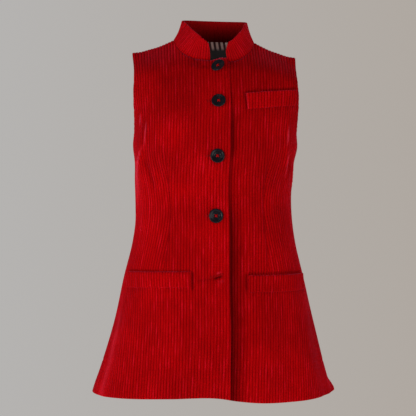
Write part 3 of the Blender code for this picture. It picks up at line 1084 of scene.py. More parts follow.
@dataclass(frozen=True)
class CorduroyFinish:
    """Red cotton corduroy: painted shade in the valleys, tops lighter in streaks by wear and painted
    highlight, painted light and shade from the panels, and a soft sheen along the pile.

    A shade's or ramp's values are where it starts and ends, and its result before and after.
    """

    pitch: float
    pile: tuple = (0.52, 0.0006, 0.0022, 1.0)
    # Wale tops lighter in streaks, partly by wear and partly by painted highlight.
    worn: tuple = (0.66, 0.005, 0.018, 1.0)
    # Painted shade in the valleys between the wales.
    valley_painted_shade: tuple = (0.20, 0.0003, 0.0008, 1.0)
    wrong: tuple = (0.24, 0.001, 0.002, 1.0)
    # Painted sheen: a pale pink mixed in where the painted light is strongest.
    painted_sheen: tuple = (0.78, 0.045, 0.095, 1.0)
    sheen: float = 0.42
    sheen_tint: tuple = (1.0, 0.14, 0.34, 1.0)
    sheen_roughness: float = 0.3
    specular: float = 0.02
    streak_scales: tuple = (1.3, 26.0)
    streak_detail: float = 3.0
    streak_shade: tuple = (0.2, 0.8, 0.86, 1.12)
    nap_scales: tuple = (900.0, 300.0)
    nap_detail: float = 4.0
    nap_shade: tuple = (0.25, 0.75, 0.74, 1.22)
    cloud_scale: float = 11.0
    cloud_detail: float = 3.0
    cloud_shade: tuple = (0.3, 0.7, 0.86, 1.1)
    fuzz_scale: float = 1500.0
    fuzz_detail: float = 2.0
    valley_from: float = 0.33
    worn_and_highlight_ramp: tuple = (0.48, 0.74, 0.0, 1.0)
    painted_sheen_ramp: tuple = (1.0, 1.6, 0.0, 0.85)
    roughness_ramp: tuple = (0.2, 0.8, 0.72, 0.92)
    lightest: float = 1.15
    nap_bump: float = 0.6
    fuzz_bump: float = 0.4
    bump: tuple = (0.7, 0.0009)

    def make(self) -> bpy.types.Material:
        """Builds the material.

        Returns:
            The material, which reads the cloth's place and the painted light and shade on it.
        """
        n = Nodes("red_corduroy")
        across, along, side = n.cloth_place()
        wales = n.maths("MULTIPLY", across, 1 / (self.pitch * MM))
        off = n.from_middle(wales)
        streaks = n.grain((wales, along), self.streak_scales, 0.0, self.streak_detail)
        nap = n.grain((across, along), self.nap_scales, side, self.nap_detail)
        where = n.add("ShaderNodeTexCoord").outputs["Object"]
        cloud = n.noise(where, self.cloud_scale, self.cloud_detail)
        fuzz = n.noise(where, self.fuzz_scale, self.fuzz_detail)
        top = n.ramp(off, 0.0, self.valley_from, 1.0, 0.0)
        # Streaks on the wale tops: wear and painted highlight.
        worn = n.maths("MULTIPLY", n.ramp(streaks, *self.worn_and_highlight_ramp), top)
        colour = n.blend(worn, self.pile, self.worn)
        # Painted shade in the valleys between the wales.
        colour = n.blend(n.ramp(off, self.valley_from, 0.5, 0.0, 1.0), colour, self.valley_painted_shade)
        # Painted light and shade from the attribute named nap: below 1 darker, above 1 lighter and pinker.
        painted_shading = n.add("ShaderNodeAttribute", attribute_name=CLOTH_PAINTED_LIGHT).outputs["Fac"]
        colour = n.blend(n.ramp(painted_shading, *self.painted_sheen_ramp), colour, self.painted_sheen)
        colour = n.blend(side, colour, self.wrong)
        shade = n.maths("MULTIPLY", n.ramp(cloud, *self.cloud_shade), n.ramp(nap, *self.nap_shade))
        shade = n.maths("MULTIPLY", shade, n.ramp(streaks, *self.streak_shade))
        # The painted light and shade darken or lighten the colour, up to a cap on the face.
        shade = n.maths("MULTIPLY", shade, n.maths("MINIMUM", painted_shading, n.maths("ADD", self.lightest, side)))
        n.shaded(colour, shade)
        n.join(n.ramp(nap, *self.roughness_ramp), n.shader.inputs["Roughness"])
        n.set(Specular_IOR_Level=self.specular)
        n.set(Sheen_Weight=self.sheen, Sheen_Roughness=self.sheen_roughness, Sheen_Tint=self.sheen_tint)
        raised = n.maths("MULTIPLY", nap, self.nap_bump)
        raised = n.maths("ADD", raised, n.maths("MULTIPLY", fuzz, self.fuzz_bump))
        n.bump(raised, *self.bump)
        return n.material


@dataclass(frozen=True)
class LiningFinish:
    """Smooth striped lining."""

    stripe: float = 9.9
    first: float = -3.6
    slant: float = 0.15
    light: tuple = (0.80, 0.56, 0.51, 1.0)
    dark: tuple = (0.060, 0.012, 0.013, 1.0)
    # Below this height a near-black painted shadow covers the stripes, where the inside of the back lies in
    # shade.
    painted_shadow_top: float = -9.0
    painted_shadow_fade: tuple = (-3.0, 4.0)
    below: tuple = (0.004, 0.002, 0.002, 1.0)
    stripe_ramp: tuple = (0.2, 0.3, 0.0, 1.0)
    weave_scales: tuple = (2600.0, 900.0)
    weave_detail: float = 2.0
    weave_shade: tuple = (0.2, 0.8, 0.8, 1.15)
    roughness: float = 0.45
    specular: float = 0.4
    bump: tuple = (0.25, 0.0002)

    def make(self) -> bpy.types.Material:
        """Builds the material.

        Returns:
            The material: striped above, and a near-black painted shadow below the stripes' foot.
        """
        n = Nodes("striped_lining")
        across, along, side = n.cloth_place()
        slanted = n.maths("ADD", across, n.maths("MULTIPLY", along, self.slant))
        turns = n.maths("MULTIPLY", n.maths("SUBTRACT", slanted, self.first * MM), 1 / (self.stripe * MM))
        off = n.from_middle(turns)
        weave = n.grain((across, along), self.weave_scales, side, self.weave_detail)
        colour = n.blend(n.ramp(off, *self.stripe_ramp), self.dark, self.light)
        # Painted shadow below the stripes.
        fade = [(self.painted_shadow_top + step) * MM for step in self.painted_shadow_fade]
        above = n.ramp(along, *fade, 0.0, 1.0)
        colour = n.blend(above, self.below, colour)
        n.shaded(colour, n.ramp(weave, *self.weave_shade))
        n.set(Roughness=self.roughness, Specular_IOR_Level=self.specular)
        n.bump(weave, *self.bump)
        return n.material


@dataclass(frozen=True)
class ButtonFinish:
    """Glossy black moulded plastic, lightly scuffed."""

    colour: tuple = (0.005, 0.0045, 0.008, 1.0)
    cloud: tuple = (0.009, 0.008, 0.012, 1.0)
    cloud_scale: float = 90.0
    cloud_detail: float = 2.0
    cloud_ramp: tuple = (0.35, 0.7, 0.0, 1.0)
    scuff_scale: float = 420.0
    scuff_detail: float = 4.0
    roughness_ramp: tuple = (0.3, 0.75, 0.14, 0.26)
    specular: float = 0.2
    bump: tuple = (0.08, 0.0002)

    def make(self) -> bpy.types.Material:
        """Builds the material.

        Returns:
            The material.
        """
        n = Nodes("black_button")
        where = n.add("ShaderNodeTexCoord").outputs["Object"]
        scuff = n.noise(where, self.scuff_scale, self.scuff_detail)
        cloud = n.noise(where, self.cloud_scale, self.cloud_detail)
        colour = n.blend(n.ramp(cloud, *self.cloud_ramp), self.colour, self.cloud)
        n.join(colour, n.shader.inputs["Base Color"])
        n.join(n.ramp(scuff, *self.roughness_ramp), n.shader.inputs["Roughness"])
        n.set(Specular_IOR_Level=self.specular)
        n.bump(scuff, *self.bump)
        return n.material


@dataclass(frozen=True)
class ThreadFinish:
    """Red sewing thread, twisted."""

    colour: tuple = (0.55, 0.004, 0.006, 1.0)
    dark: tuple = (0.26, 0.001, 0.002, 1.0)
    twist_scale: float = 900.0
    twist_distortion: float = 1.5
    roughness: float = 0.75
    specular: float = 0.08
    bump: tuple = (0.3, 0.0002)

    def make(self) -> bpy.types.Material:
        """Builds the material.

        Returns:
            The material.
        """
        n = Nodes("red_thread")
        where = n.add("ShaderNodeTexCoord").outputs["Object"]
        twist = n.add("ShaderNodeTexWave", wave_type="BANDS", bands_direction="DIAGONAL")
        n.join(where, twist.inputs["Vector"])
        twist.inputs["Scale"].default_value = self.twist_scale
        twist.inputs["Distortion"].default_value = self.twist_distortion
        n.join(n.blend(twist.outputs["Fac"], self.dark, self.colour), n.shader.inputs["Base Color"])
        n.set(Roughness=self.roughness, Specular_IOR_Level=self.specular)
        n.bump(twist.outputs["Fac"], *self.bump)
        return n.material


@dataclass(frozen=True)
class FloorFinish:
    """Pale matt studio floor."""

    colour: tuple = (0.90, 0.88, 0.86, 1.0)
    cloud: tuple = (0.84, 0.82, 0.80, 1.0)
    cloud_scale: float = 1.6
    cloud_detail: float = 3.0
    cloud_ramp: tuple = (0.3, 0.7, 0.0, 1.0)
    roughness: float = 0.85
    glow: tuple = (0.9, 0.87, 0.85, 1.0)
    glow_strength: float = 0.3

    def make(self) -> bpy.types.Material:
        """Builds the material.

        Returns:
            The material.
        """
        n = Nodes("pale_floor")
        where = n.add("ShaderNodeTexCoord").outputs["Object"]
        cloud = n.noise(where, self.cloud_scale, self.cloud_detail)
        colour = n.blend(n.ramp(cloud, *self.cloud_ramp), self.colour, self.cloud)
        n.join(colour, n.shader.inputs["Base Color"])
        n.set(Roughness=self.roughness, Emission_Color=self.glow, Emission_Strength=self.glow_strength)
        return n.material


@dataclass
class PanelShell:
    """Makes the visible cloth of a front or of the back."""

    panel: ClothPanel
    rows: int
    wale_places: tuple
    close: tuple = ()
    close_step: float = 0.0036
    nearest: float = 0.3
    above_underarm: tuple = (0.0, 0.0005, 0.0018, 0.004, 0.0075, 0.0125, 0.019, 0.027)
    near_edges: tuple = (0.0015, 0.0045)
    wale_fade: float = 1.2

    def shares(self) -> Grid:
        """Places the rows, closer at the hem, the top, the underarm and where the form is fine.

        Returns:
            The rows, as shares of the cloth's length from the hem up.
        """
        even = np.linspace(0, 1, self.rows)
        under = self.panel.underarm_share + np.array(self.above_underarm)
        edge = np.array(self.near_edges)
        fine = [np.arange(low, high, self.close_step) for low, high in self.close]
        extra = np.concatenate([under, edge, 1 - edge, *fine])
        near = np.abs(even[:, None] - extra[None, :]).min(axis=1) < self.nearest * self.close_step
        near[[0, -1]] = False
        return np.sort(np.concatenate([even[~near], extra]))

    def build(self) -> bpy.types.Object:
        """Builds the piece.

        Returns:
            The closed wall of cloth.
        """
        panel, name = self.panel, self.panel.piece.value
        cloth = Corduroy(places=self.wale_places)
        share = self.shares()
        low, high = panel.ends(share)
        columns = cloth.columns(low.min(), high.max())
        u = cloth.held(columns, low, high)
        rows = np.broadcast_to(share[:, None], u.shape)
        height = panel.height(u, rows)
        # The dart's stitching takes the wales in: what is left of each millimetre of cloth.
        crushed = np.clip(1 - panel.intake(u + 0.5, height) + panel.intake(u - 0.5, height), 0, 1)
        from_edge = np.minimum(u - low[:, None], high[:, None] - u)
        from_edge = np.minimum(from_edge, panel.top(u) - height)
        from_edge = np.minimum(from_edge, rows * (panel.top(u) - panel.form.hem))
        inset = rounded(np.maximum(from_edge, 0), cloth.edge_round)
        wale = cloth.wale(u) * crushed * smooth(from_edge / self.wale_fade)
        outer = panel.point(u, rows, wale - inset)
        inner = panel.point(u, rows, -cloth.wall + inset)
        places = np.stack([u, height], axis=-1) * MM
        # The outside carries the panel's painted light and shade; the inside has none.
        made = cloth_wall(name + "_cloth", outer, inner, places, (panel.tone(u, height), 1.0))
        self.declare(made)
        return made

    def declare(self, made: bpy.types.Object) -> None:
        """Attaches the sheet to the root and hides the solid that it stands for.

        Args:
            made: the piece.
        """
        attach(made, "root")
        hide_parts(self.panel.piece.value)


@dataclass
class StandCollar:
    """The stand collar: a band round the neckline, its wales across its width, its ends rounded.

    The swell's columns are the way from an end, and the rise there on the right and on the left.
    """

    panels: dict
    cloth: Corduroy
    high: float = 41.0
    wall: float = 2.6
    gap: float = -0.6
    first_end: float = -9.0
    last_end: float = 24.0
    round: float = 22.0
    # The inside runs from painted shade at the foot to painted light at the top.
    foot_round: float = 5.0
    wrong_foot_painted_shade: float = 0.3
    wrong_top_painted_light: float = 1.6
    wrong_painted_light_fade: float = 1.3
    lean_side: float = 24.0
    lean_right: float = 7.0
    lean_ends: float = 8.0
    swell: tuple = (
        (0, 0.0, 0.0), (18, 2.5, 0.0), (34, 6.0, 0.0), (50, 8.0, 1.5), (66, 8.7, 2.0), (82, 8.5, 1.0),
        (98, 7.0, 0.0), (114, 5.0, 0.0), (128, 0.0, 0.0),
    )
    shares: tuple = (
        0.0, 0.02, 0.06, 0.14, 0.26, 0.38, 0.5, 0.62, 0.72, 0.81, 0.88, 0.935, 0.97, 0.988, 0.997, 1.0,
    )
    steps: int = 121
    reach: float = 3.0
    edge_left: float = 0.15
    wale_fade: float = 1.6
    wrong_wale: float = 0.6
    # Painted light over the collar's face, and painted shade along its foot.
    face_tone: float = 1.06
    seam_painted_shade: float = 0.45
    seam_half: float = 2.0

    def path(self) -> Grid:
        """Follows the neckline, from the over front's end by the back to the under front's end.

        Returns:
            The points of the neckline.
        """
        half = self.panels[Piece.BACK].neck_half
        first, last = math.asin(abs(self.first_end) / half), math.asin(abs(self.last_end) / half)
        quarter = math.pi / 2
        runs = (
            (Piece.RIGHT_FRONT, -1, first, quarter),
            (Piece.BACK, -1, quarter, 0.0),
            (Piece.BACK, 1, 0.0, quarter),
            (Piece.LEFT_FRONT, 1, quarter, last),
        )
        path = []
        for piece, side, start, stop in runs:
            panel = self.panels[piece]
            u = side * half * np.sin(np.linspace(start, stop, self.steps))
            top = np.ones_like(u)
            points = panel.form_point(u, top)
            points += panel.normal(u, top) * panel.lift(u, points[:, 2])[:, None]
            path.append(points[1 if path else 0:])
        return np.concatenate(path)

    def build(self) -> bpy.types.Object:
        """Builds the collar.

        Returns:
            The closed band of cloth.
        """
        path = self.path()
        way = np.concatenate([[0], np.cumsum(np.linalg.norm(np.diff(path, axis=0), axis=1))])
        back = way[np.argmax(path[:, 1])]
        low, high = -back, way[-1] - back

        def at(v: Grid) -> Grid:
            """Points of the path at a way round it."""
            return np.stack([np.interp(v + back, way, path[:, k]) for k in range(3)], axis=-1)

        up = np.array(self.shares) * self.high
        corner = np.maximum(0.0, up - self.high + self.round) / self.round
        foot = np.maximum(0.0, self.foot_round - up) / self.foot_round
        cut = self.round * (1 - np.sqrt(1 - corner**2)) + self.foot_round * (1 - np.sqrt(1 - foot**2))
        columns = self.cloth.columns(low, high)
        v = self.cloth.held(columns, low + cut, high - cut)
        rise, out = self.frame(at, v, low, high)
        swell = np.maximum(curve(v - low, self.swell, 1), 0) * (v < 0)
        swell += np.maximum(curve(high - v, self.swell, 2), 0) * (v > 0)
        share = np.broadcast_to(np.array(self.shares)[:, None], v.shape)
        level = share * (self.high + swell)
        from_end = np.minimum(v - (low + cut)[:, None], (high - cut)[:, None] - v)
        from_edge = np.minimum(from_end, (self.high + swell) * (1 - share))
        inset = rounded(np.maximum(from_edge, 0), self.wall / 2 - self.edge_left)
        wale = self.cloth.wale(v) * smooth(from_edge / self.wale_fade)
        line = at(v) + rise * (self.gap + level)[..., None]
        outer = line + out * (wale - inset)[..., None]
        inner = line - out * (self.wall + wale * self.wrong_wale - inset)[..., None]
        form = self.panels[Piece.BACK].form
        places = np.stack([v, level], axis=-1) * MM
        # Painted light over the face with painted shade along the foot; painted shade to painted light up the
        # inside.
        seam = self.face_tone - self.seam_painted_shade * np.exp(-((level / self.seam_half) ** 2))
        tones = (seam, self.wrong_foot_painted_shade + (self.wrong_top_painted_light - self.wrong_foot_painted_shade) * share**self.wrong_painted_light_fade)
        made = cloth_wall("stand_collar", form.leaned(outer), form.leaned(inner), places, tones)
        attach(made, "root")
        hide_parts("collar")
        return made

    def frame(self, at: object, v: Grid, low: float, high: float) -> tuple:
        """The collar's way up and way out at each place.

        Args:
            at: gives points of the neckline.
            v: places along it.
            low: its first end.
            high: its last end.

        Returns:
            The directions up the collar and out of it.
        """
        along = at(np.minimum(v + self.reach, high)) - at(np.maximum(v - self.reach, low))
        along /= np.linalg.norm(along, axis=-1, keepdims=True)
        centre = np.stack([-along[..., 1], along[..., 0], np.zeros(v.shape)], axis=-1)
        centre /= np.linalg.norm(centre, axis=-1, keepdims=True)
        sideways = np.abs(centre[..., 0])
        side = self.lean_side + self.lean_right * (v < 0)
        lean = np.radians(self.lean_ends + (side - self.lean_ends) * sideways**2)
        rise = np.stack([np.zeros(v.shape), np.zeros(v.shape), np.cos(lean)], axis=-1)
        rise -= centre * np.sin(lean)[..., None]
        rise -= along * (rise * along).sum(axis=-1, keepdims=True)
        rise /= np.linalg.norm(rise, axis=-1, keepdims=True)
        out = np.cross(rise, along)
        out *= np.sign((out * centre).sum(axis=-1, keepdims=True))
        return rise, out


@dataclass
class PocketWelt:
    """A folded band of corduroy, sewn on at a pocket's mouth."""

    node: str
    panel: ClothPanel
    cloth: Corduroy
    from_u: float
    to_u: float
    from_top: float
    to_top: float
    high: float
    slant: float = 0.0
    edge_painted_highlight: float = 0.1
    under: float = 1.0
    thick_foot: float = 1.9
    thick_top: float = 4.0
    soft: float = 2.6
    wale_fade: float = 1.6
    turned_half: float = 2.4
    shares: tuple = (0.0, 0.015, 0.04, 0.08, 0.16, 0.3, 0.5, 0.7, 0.84, 0.92, 0.96, 0.985, 1.0)

    def build(self) -> bpy.types.Object:
        """Builds the welt.

        Returns:
            The closed band, laid on its front.
        """
        share = np.array(self.shares)
        start = self.from_u + self.slant * (1 - share)
        columns = self.cloth.columns(self.from_u, self.to_u)
        u = self.cloth.held(columns, start, np.full_like(share, self.to_u))
        along = (u - self.from_u) / (self.to_u - self.from_u)
        top = self.from_top + (self.to_top - self.from_top) * along
        height = top - self.high * (1 - share[:, None])
        from_edge = np.minimum(u - start[:, None], self.to_u - u)
        from_edge = np.minimum(from_edge, self.high * np.minimum(share, 1 - share)[:, None])
        thick = self.thick_foot + (self.thick_top - self.thick_foot) * smooth(share)[:, None]
        inset = rounded(np.maximum(from_edge, 0), self.soft)
        wale = self.cloth.wale(u) * smooth(from_edge / self.wale_fade)
        row = self.panel.share_at(u, height)
        inset = inset * (thick / self.thick_top)
        outer = self.panel.point(u, row, self.under + thick + wale - inset)
        inner = self.panel.point(u, row, self.under)
        # Painted highlight along the welt's turned top and its slanted end.
        turned = np.exp(-((self.high * (1 - share[:, None]) / self.turned_half) ** 2))
        turned = turned + np.exp(-(((u - start[:, None]) / self.turned_half) ** 2))
        tones = (1 + self.edge_painted_highlight * np.minimum(turned, 1), 1.0)
        places = np.stack([u, height], axis=-1) * MM
        made = cloth_wall(self.node + "_band", outer, inner, places, tones)
        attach(made, "root")
        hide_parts(self.node)
        return made


@dataclass
class NeckLining:
    """The striped lining where it shows, under the back neck."""

    panel: ClothPanel
    half: float = 58.0
    wall: float = 0.8
    depth: float = 1.6
    low: float = 0.83
    high: float = 1.0
    rows: int = 24
    columns: int = 49
    sag: float = 0.5
    sag_across: float = 9.0
    sag_up: float = 60.0

    def build(self) -> bpy.types.Object:
        """Builds the lining.

        Returns:
            The closed sheet behind the back's cloth.
        """
        share = np.linspace(self.low, self.high, self.rows)
        across = np.linspace(-self.half, self.half, self.columns)
        u = np.broadcast_to(across, (self.rows, self.columns))
        rows = np.broadcast_to(share[:, None], u.shape)
        near = -Corduroy().wall - self.depth
        sag = self.sag * np.sin(u / self.sag_across) * np.sin(rows * self.sag_up)
        outer = self.panel.point(u, rows, near + sag)
        inner = self.panel.point(u, rows, near + sag - self.wall)
        height = self.panel.height(u, rows)
        made = cloth_wall("neck_lining", outer, inner, np.stack([u, height], axis=-1) * MM)
        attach(made, "root")
        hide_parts("lining_back")
        return made


@dataclass
class CoatButton:
    """A dished black button on a thread shank, sewn on with red thread.

    The profile's columns are the distance from its middle and the height.
    """

    number: int
    panel: ClothPanel
    height: float
    place: float
    nod: float
    sway: float
    clear: float = 0.2
    off_wales: float = 0.3
    sides: int = 64
    profile: tuple = (
        (6.0, 0.0), (10.8, 0.15), (12.6, 0.7), (13.6, 1.5), (13.9, 2.3), (13.7, 3.0), (13.1, 3.6),
        (12.4, 3.85), (11.6, 3.8), (10.8, 3.45), (9.8, 2.95), (8.0, 2.65), (6.6, 2.6), (6.0, 2.45),
        (5.4, 2.05), (4.6, 1.95),
    )
    floor: float = 1.95
    hole_from_middle: float = 2.1
    hole: float = 1.0
    hole_sides: int = 16
    hole_lip: tuple = (0.15, 0.2)
    thread: float = 0.55
    thread_sides: int = 8
    strands: tuple = (-0.55, 0.0, 0.55)
    strand_apart: float = 0.7
    strand_points: int = 9
    strand_arch: int = 4
    strand_reach: float = 1.02
    strand_dip: float = 0.6
    strand_rise: float = 1.75
    over_rise: float = 0.35
    strand_end: float = -0.4
    shank: float = 1.5
    shank_threads: int = 6
    shank_waist: float = 0.7
    shank_top: float = 0.3
    shank_foot: float = -2.4

    def __post_init__(self) -> None:
        """Works out the button's seat and its own directions."""
        u = np.array([self.place])
        share = self.panel.share_at(u, np.array([self.height]))
        seat = self.panel.point(u, share, Corduroy().high + self.off_wales)[0]
        out = self.panel.normal(u, share)[0]
        pitch, sway = math.radians(self.nod), math.radians(self.sway)
        facing = Vector((0.0, -math.cos(pitch), math.sin(pitch)))
        upward = Vector((0.0, math.sin(pitch), math.cos(pitch)))
        facing = (facing * math.cos(sway) + Vector((1.0, 0.0, 0.0)) * math.sin(sway)).normalized()
        self.across = facing.cross(upward).normalized()
        self.upward = self.across.cross(facing)
        self.facing = facing
        tilt = math.sqrt(max(0.0, 1 - facing.dot(Vector(out)) ** 2))
        self.clearance = self.profile[1][0] * tilt + self.clear
        self.seat = Vector(seat) + facing * self.clearance

    def spot(self, x: float, y: float, z: float) -> Vector:
        """A point in the button's own directions, in metres."""
        return (self.seat + self.across * x + self.upward * y + self.facing * z) * MM

    def turned(self, mesh: bmesh.types.BMesh, profile: tuple, middle: tuple, sides: int) -> None:
        """Spins a profile about an axis through the button.

        Args:
            mesh: the mesh that it is added to.
            profile: radius and height of each of its points.
            middle: where the axis passes, across and up.
            sides: how many steps the turn has.
        """
        verts = [mesh.verts.new(self.spot(middle[0] + r, middle[1], z)) for r, z in profile]
        edges = [mesh.edges.new(pair) for pair in zip(verts[:-1], verts[1:])]
        bmesh.ops.spin(
            mesh, geom=verts + edges, cent=self.spot(middle[0], middle[1], 0.0), axis=self.facing,
            angle=2 * math.pi, steps=sides, use_merge=True, use_duplicate=False,
        )

    def build(self) -> list:
        """Builds the button and its thread.

        Returns:
            The two pieces.
        """
        mesh = bmesh.new()
        self.turned(mesh, self.profile, (0.0, 0.0), self.sides)
        bmesh.ops.remove_doubles(mesh, verts=mesh.verts[:], dist=SAME_POINT)
        self.drill(mesh)
        bmesh.ops.recalc_face_normals(mesh, faces=mesh.faces[:])
        button = finished(f"button_{self.number}_moulded", mesh)
        thread = self.sewn()
        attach(button, "root")
        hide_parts(f"button_{self.number}")
        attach(thread, "root")
        return [button, thread]

    def drill(self, mesh: bmesh.types.BMesh) -> None:
        """Closes the button below and above, round four holes that go right through.

        Args:
            mesh: the turned rim, open below and above.
        """
        rims = [e for e in mesh.edges if e.is_boundary]
        around = {}
        for level in (0.0, self.floor):
            above = [(e.verts[0].co / MM - self.seat).dot(self.facing) - level for e in rims]
            around[level] = [e for e, high in zip(rims, above) if abs(high) < self.floor / 2]
        step = self.hole_from_middle
        wider, deep = self.hole_lip
        cut = ((self.hole, 0.0), (self.hole, self.floor - deep), (self.hole + wider, self.floor))
        for x, y in ((step, step), (step, -step), (-step, step), (-step, -step)):
            rings = [self.ring(mesh, self.spot(x, y, z), self.facing, r, self.hole_sides) for r, z in cut]
            for low, high in zip(rings[:-1], rings[1:]):
                bmesh.ops.bridge_loops(mesh, edges=low + high)
            around[0.0] += rings[0]
            around[self.floor] += rings[-1]
            for edge in rings[0] + rings[-1]:
                edge.smooth = False
        for edges in around.values():
            bmesh.ops.triangle_fill(mesh, use_beauty=True, edges=edges, normal=self.facing)

    def sewn(self) -> bpy.types.Object:
        """Sews the thread that crosses between the holes, and the shank under the button.

        Returns:
            One mesh of all the strands.
        """
        mesh = bmesh.new()
        step = self.hole_from_middle
        for turn in (1, -1):
            for shift in self.strands:
                aside = shift * self.strand_apart
                line = []
                for t in np.linspace(-1, 1, self.strand_points):
                    along = step * t * self.strand_reach
                    rise = self.strand_rise * (1 - t**self.strand_arch)
                    rise += self.over_rise if turn < 0 else 0.0
                    place = (along + aside, turn * along - turn * aside)
                    line.append((*place, self.floor - self.strand_dip + rise))
                line = [(*line[0][:2], self.strand_end), *line, (*line[-1][:2], self.strand_end)]
                self.strand(mesh, line)
        foot = self.shank_foot - self.clearance
        for k in range(self.shank_threads):
            angle = 2 * math.pi * k / self.shank_threads
            x, y = self.shank * math.cos(angle), self.shank * math.sin(angle)
            waist = (x * self.shank_waist, y * self.shank_waist, foot / 2)
            self.strand(mesh, [(x, y, self.shank_top), waist, (x, y, foot)])
        bmesh.ops.recalc_face_normals(mesh, faces=mesh.faces[:])
        return finished(f"button_{self.number}_thread", mesh)

    def strand(self, mesh: bmesh.types.BMesh, line: list) -> None:
        """A round strand of thread, closed at both ends.

        Args:
            mesh: the mesh that it is added to.
            line: points in the button's own directions.
        """
        rings = []
        points = [self.spot(*p) for p in line]
        for k, point in enumerate(points):
            ahead = (points[min(k + 1, len(points) - 1)] - points[max(k - 1, 0)]).normalized()
            rings.append(self.ring(mesh, point, ahead, self.thread, self.thread_sides))
        for low, high in zip(rings[:-1], rings[1:]):
            bmesh.ops.bridge_loops(mesh, edges=low + high)
        for end in (rings[0], rings[-1]):
            bmesh.ops.edgeloop_fill(mesh, edges=end)

    def ring(self, mesh: bmesh.types.BMesh, at: Vector, facing: Vector, radius: float, sides: int) -> list:
        """A ring of edges.

        Args:
            mesh: the mesh that it is added to.
            at: its middle, in metres.
            facing: the way that it faces.
            radius: its radius, in millimetres.
            sides: how many edges it has.

        Returns:
            Its edges.
        """
        turn = facing.to_track_quat("Z", "Y").to_matrix().to_4x4()
        turn.translation = at
        ring = bmesh.ops.create_circle(mesh, segments=sides, radius=radius * MM, matrix=turn)["verts"]
        return list(dict.fromkeys(e for v in ring for e in v.link_edges))


@dataclass
class Buttonhole:
    """A worked buttonhole: a slit edged with close stitches of red thread."""

    name: str
    panel: ClothPanel
    height: float
    from_u: float
    to_u: float
    rise: float = 0.0
    half: float = 1.9
    slit: float = 0.45
    stitch: float = 0.3
    spacing: float = 0.75
    fan: int = 7
    sides: int = 6
    sunk: float = 0.2

    def build(self) -> bpy.types.Object:
        """Builds the stitches.

        Returns:
            One mesh of all the stitches.
        """
        mesh = bmesh.new()
        count = int((self.to_u - self.from_u) / self.spacing)
        for k in range(count + 1):
            u, z = self.from_u + k * self.spacing, self.height + self.rise * k / count
            for side in (-1, 1):
                self.bar(mesh, u, z + side * self.slit, u, z + side * self.half)
        for end, z, turn in ((self.from_u, self.height, -1), (self.to_u, self.height + self.rise, 1)):
            for k in range(self.fan):
                angle = (k - self.fan // 2) * math.pi / self.fan
                du, dz = turn * math.cos(angle), math.sin(angle)
                near, far = self.slit, self.half
                self.bar(mesh, end + near * du, z + near * dz, end + far * du, z + far * dz)
        made = finished(self.name, mesh)
        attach(made, "root")
        return made

    def at(self, u: float, height: float, out: float) -> Vector:
        """A point on the cloth, in metres."""
        share = self.panel.share_at(np.array([u]), np.array([height]))
        return Vector(self.panel.point(np.array([u]), share, out)[0]) * MM

    def bar(self, mesh: bmesh.types.BMesh, u: float, z: float, to_u: float, to_z: float) -> None:
        """Lays one stitch, a short round bar, on the wales.

        Args:
            mesh: the mesh that it is added to.
            u: its start, round the body.
            z: its start's height.
            to_u: its end, round the body.
            to_z: its end's height.
        """
        top = Corduroy().high - self.sunk
        start, stop = self.at(u, z, top), self.at(to_u, to_z, top)
        along = stop - start
        turn = along.normalized().to_track_quat("Z", "Y").to_matrix().to_4x4()
        turn.translation = (start + stop) / 2
        bmesh.ops.create_cone(
            mesh, cap_ends=True, segments=self.sides, radius1=self.stitch * MM, radius2=self.stitch * MM,
            depth=along.length + self.stitch * MM, matrix=turn,
        )


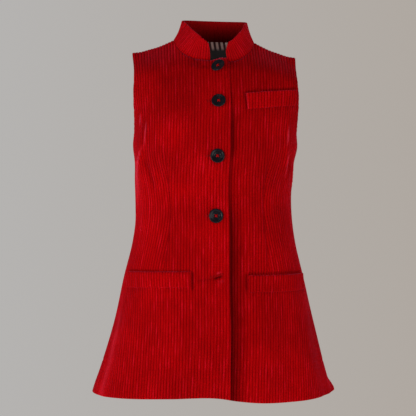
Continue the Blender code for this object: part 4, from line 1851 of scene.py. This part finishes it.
@dataclass
class Studio:
    """The camera, the soft lights, the pale floor and the pale surround."""

    camera_at: tuple = (-0.0116, -2.6, -0.335)
    lens: float = 112.5
    sensor: float = 36.0
    sees_to: float = 60.0
    lit_point: tuple = (0.0, 0.0, -0.33)
    floor_z: float = -1.7
    floor_half: float = 5.0
    surround_left: tuple = (0.462, 0.451, 0.440, 1.0)
    surround_right: tuple = (0.430, 0.392, 0.356, 1.0)
    surround_turn: float = 0.16
    surround_light: float = 0.35

    def build(self) -> None:
        """Sets up everything that isn't the vest."""
        self.camera()
        self.floor()
        self.surround()
        for row in LIGHTS:
            self.light(*row)

    def camera(self) -> None:
        """A level camera in front of the vest."""
        data = bpy.data.cameras.new("camera")
        data.lens = self.lens
        data.sensor_width = self.sensor
        data.clip_end = self.sees_to
        made = bpy.data.objects.new("camera", data)
        made.location = self.camera_at
        made.rotation_euler = (math.pi / 2, 0.0, 0.0)
        bpy.context.scene.collection.objects.link(made)
        bpy.context.scene.camera = made

    def light(self, name: str, at: tuple, size: float, power: float, colour: tuple) -> None:
        """A large soft light that faces the vest's middle.

        Args:
            name: the light's name.
            at: where it stands.
            size: the side of its square.
            power: its watts.
            colour: its colour.
        """
        data = bpy.data.lights.new(name, "AREA")
        data.size = size
        data.energy = power
        data.color = colour
        made = bpy.data.objects.new(name, data)
        made.location = at
        towards = Vector(self.lit_point) - Vector(at)
        made.rotation_euler = towards.to_track_quat("-Z", "Y").to_euler()
        bpy.context.scene.collection.objects.link(made)

    def floor(self) -> None:
        """A pale floor well below the hem."""
        mesh = bmesh.new()
        bmesh.ops.create_grid(mesh, x_segments=8, y_segments=8, size=self.floor_half)
        bmesh.ops.translate(mesh, verts=mesh.verts[:], vec=(0.0, 0.0, self.floor_z))
        made = finished("studio_floor", mesh)
        made.data.materials.append(FloorFinish().make())

    def surround(self) -> None:
        """A pale surround, a little brighter on the left, that lights the vest softly."""
        world = bpy.data.worlds.new("surround")
        bpy.context.scene.world = world
        world.use_nodes = True
        tree = world.node_tree
        sky = tree.nodes["Background"]
        turn = tree.nodes.new("ShaderNodeTexCoord")
        parts = tree.nodes.new("ShaderNodeSeparateXYZ")
        ramp = tree.nodes.new("ShaderNodeMapRange")
        mix = tree.nodes.new("ShaderNodeMix")
        path = tree.nodes.new("ShaderNodeLightPath")
        power = tree.nodes.new("ShaderNodeMapRange")
        mix.data_type = "RGBA"
        mix.inputs[MIX_FIRST].default_value = self.surround_left
        mix.inputs[MIX_SECOND].default_value = self.surround_right
        tree.links.new(turn.outputs["Generated"], parts.inputs[0])
        tree.links.new(parts.outputs["X"], ramp.inputs["Value"])
        ramp.inputs["From Min"].default_value = -self.surround_turn
        ramp.inputs["From Max"].default_value = self.surround_turn
        tree.links.new(ramp.outputs["Result"], mix.inputs[MIX_FACTOR])
        tree.links.new(mix.outputs[MIX_RESULT], sky.inputs["Color"])
        tree.links.new(path.outputs["Is Camera Ray"], power.inputs["Value"])
        power.inputs["To Min"].default_value = self.surround_light
        power.inputs["To Max"].default_value = 1.0
        tree.links.new(power.outputs["Result"], sky.inputs["Strength"])
        bpy.context.scene.view_settings.view_transform = "Standard"


def main() -> None:
    """Builds the vest piece by piece, then the studio."""
    logging.basicConfig(level=logging.INFO, format="%(name)s: %(message)s")
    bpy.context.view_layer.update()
    form, cloth = WornForm(), Corduroy()
    fronts, rear = LevelCuts(form, "front"), LevelCuts(form, "back")
    panels = {
        piece: ClothPanel(piece, form, rear if piece is Piece.BACK else fronts, cloth, dart_place)
        for piece, dart_place, *_ in WALLS
    }
    corduroy = CorduroyFinish(cloth.pitch).make()
    lining = LiningFinish().make()
    black = ButtonFinish().make()
    thread = ThreadFinish().make()

    built = []
    for piece, _, rows, wale_places, close in WALLS:
        built.append((PanelShell(panels[piece], rows, wale_places, close).build(), corduroy))
    built.append((StandCollar(panels, cloth).build(), corduroy))
    for node, piece, *measures in WELTS:
        built.append((PocketWelt(node, panels[piece], cloth, *measures).build(), corduroy))
    built.append((NeckLining(panels[Piece.BACK]).build(), lining))
    for number, *measures in BUTTONS:
        button, sewn = CoatButton(number, panels[Piece.RIGHT_FRONT], *measures).build()
        built += [(button, black), (sewn, thread)]
    for number, *measures in BUTTONHOLES:
        hole = Buttonhole(f"buttonhole_{number}", panels[Piece.RIGHT_FRONT], *measures).build()
        built.append((hole, thread))
    for piece, look in built:
        piece.data.materials.append(look)
        report(piece)

    Studio().build()


if __name__ == "__main__":
    main()
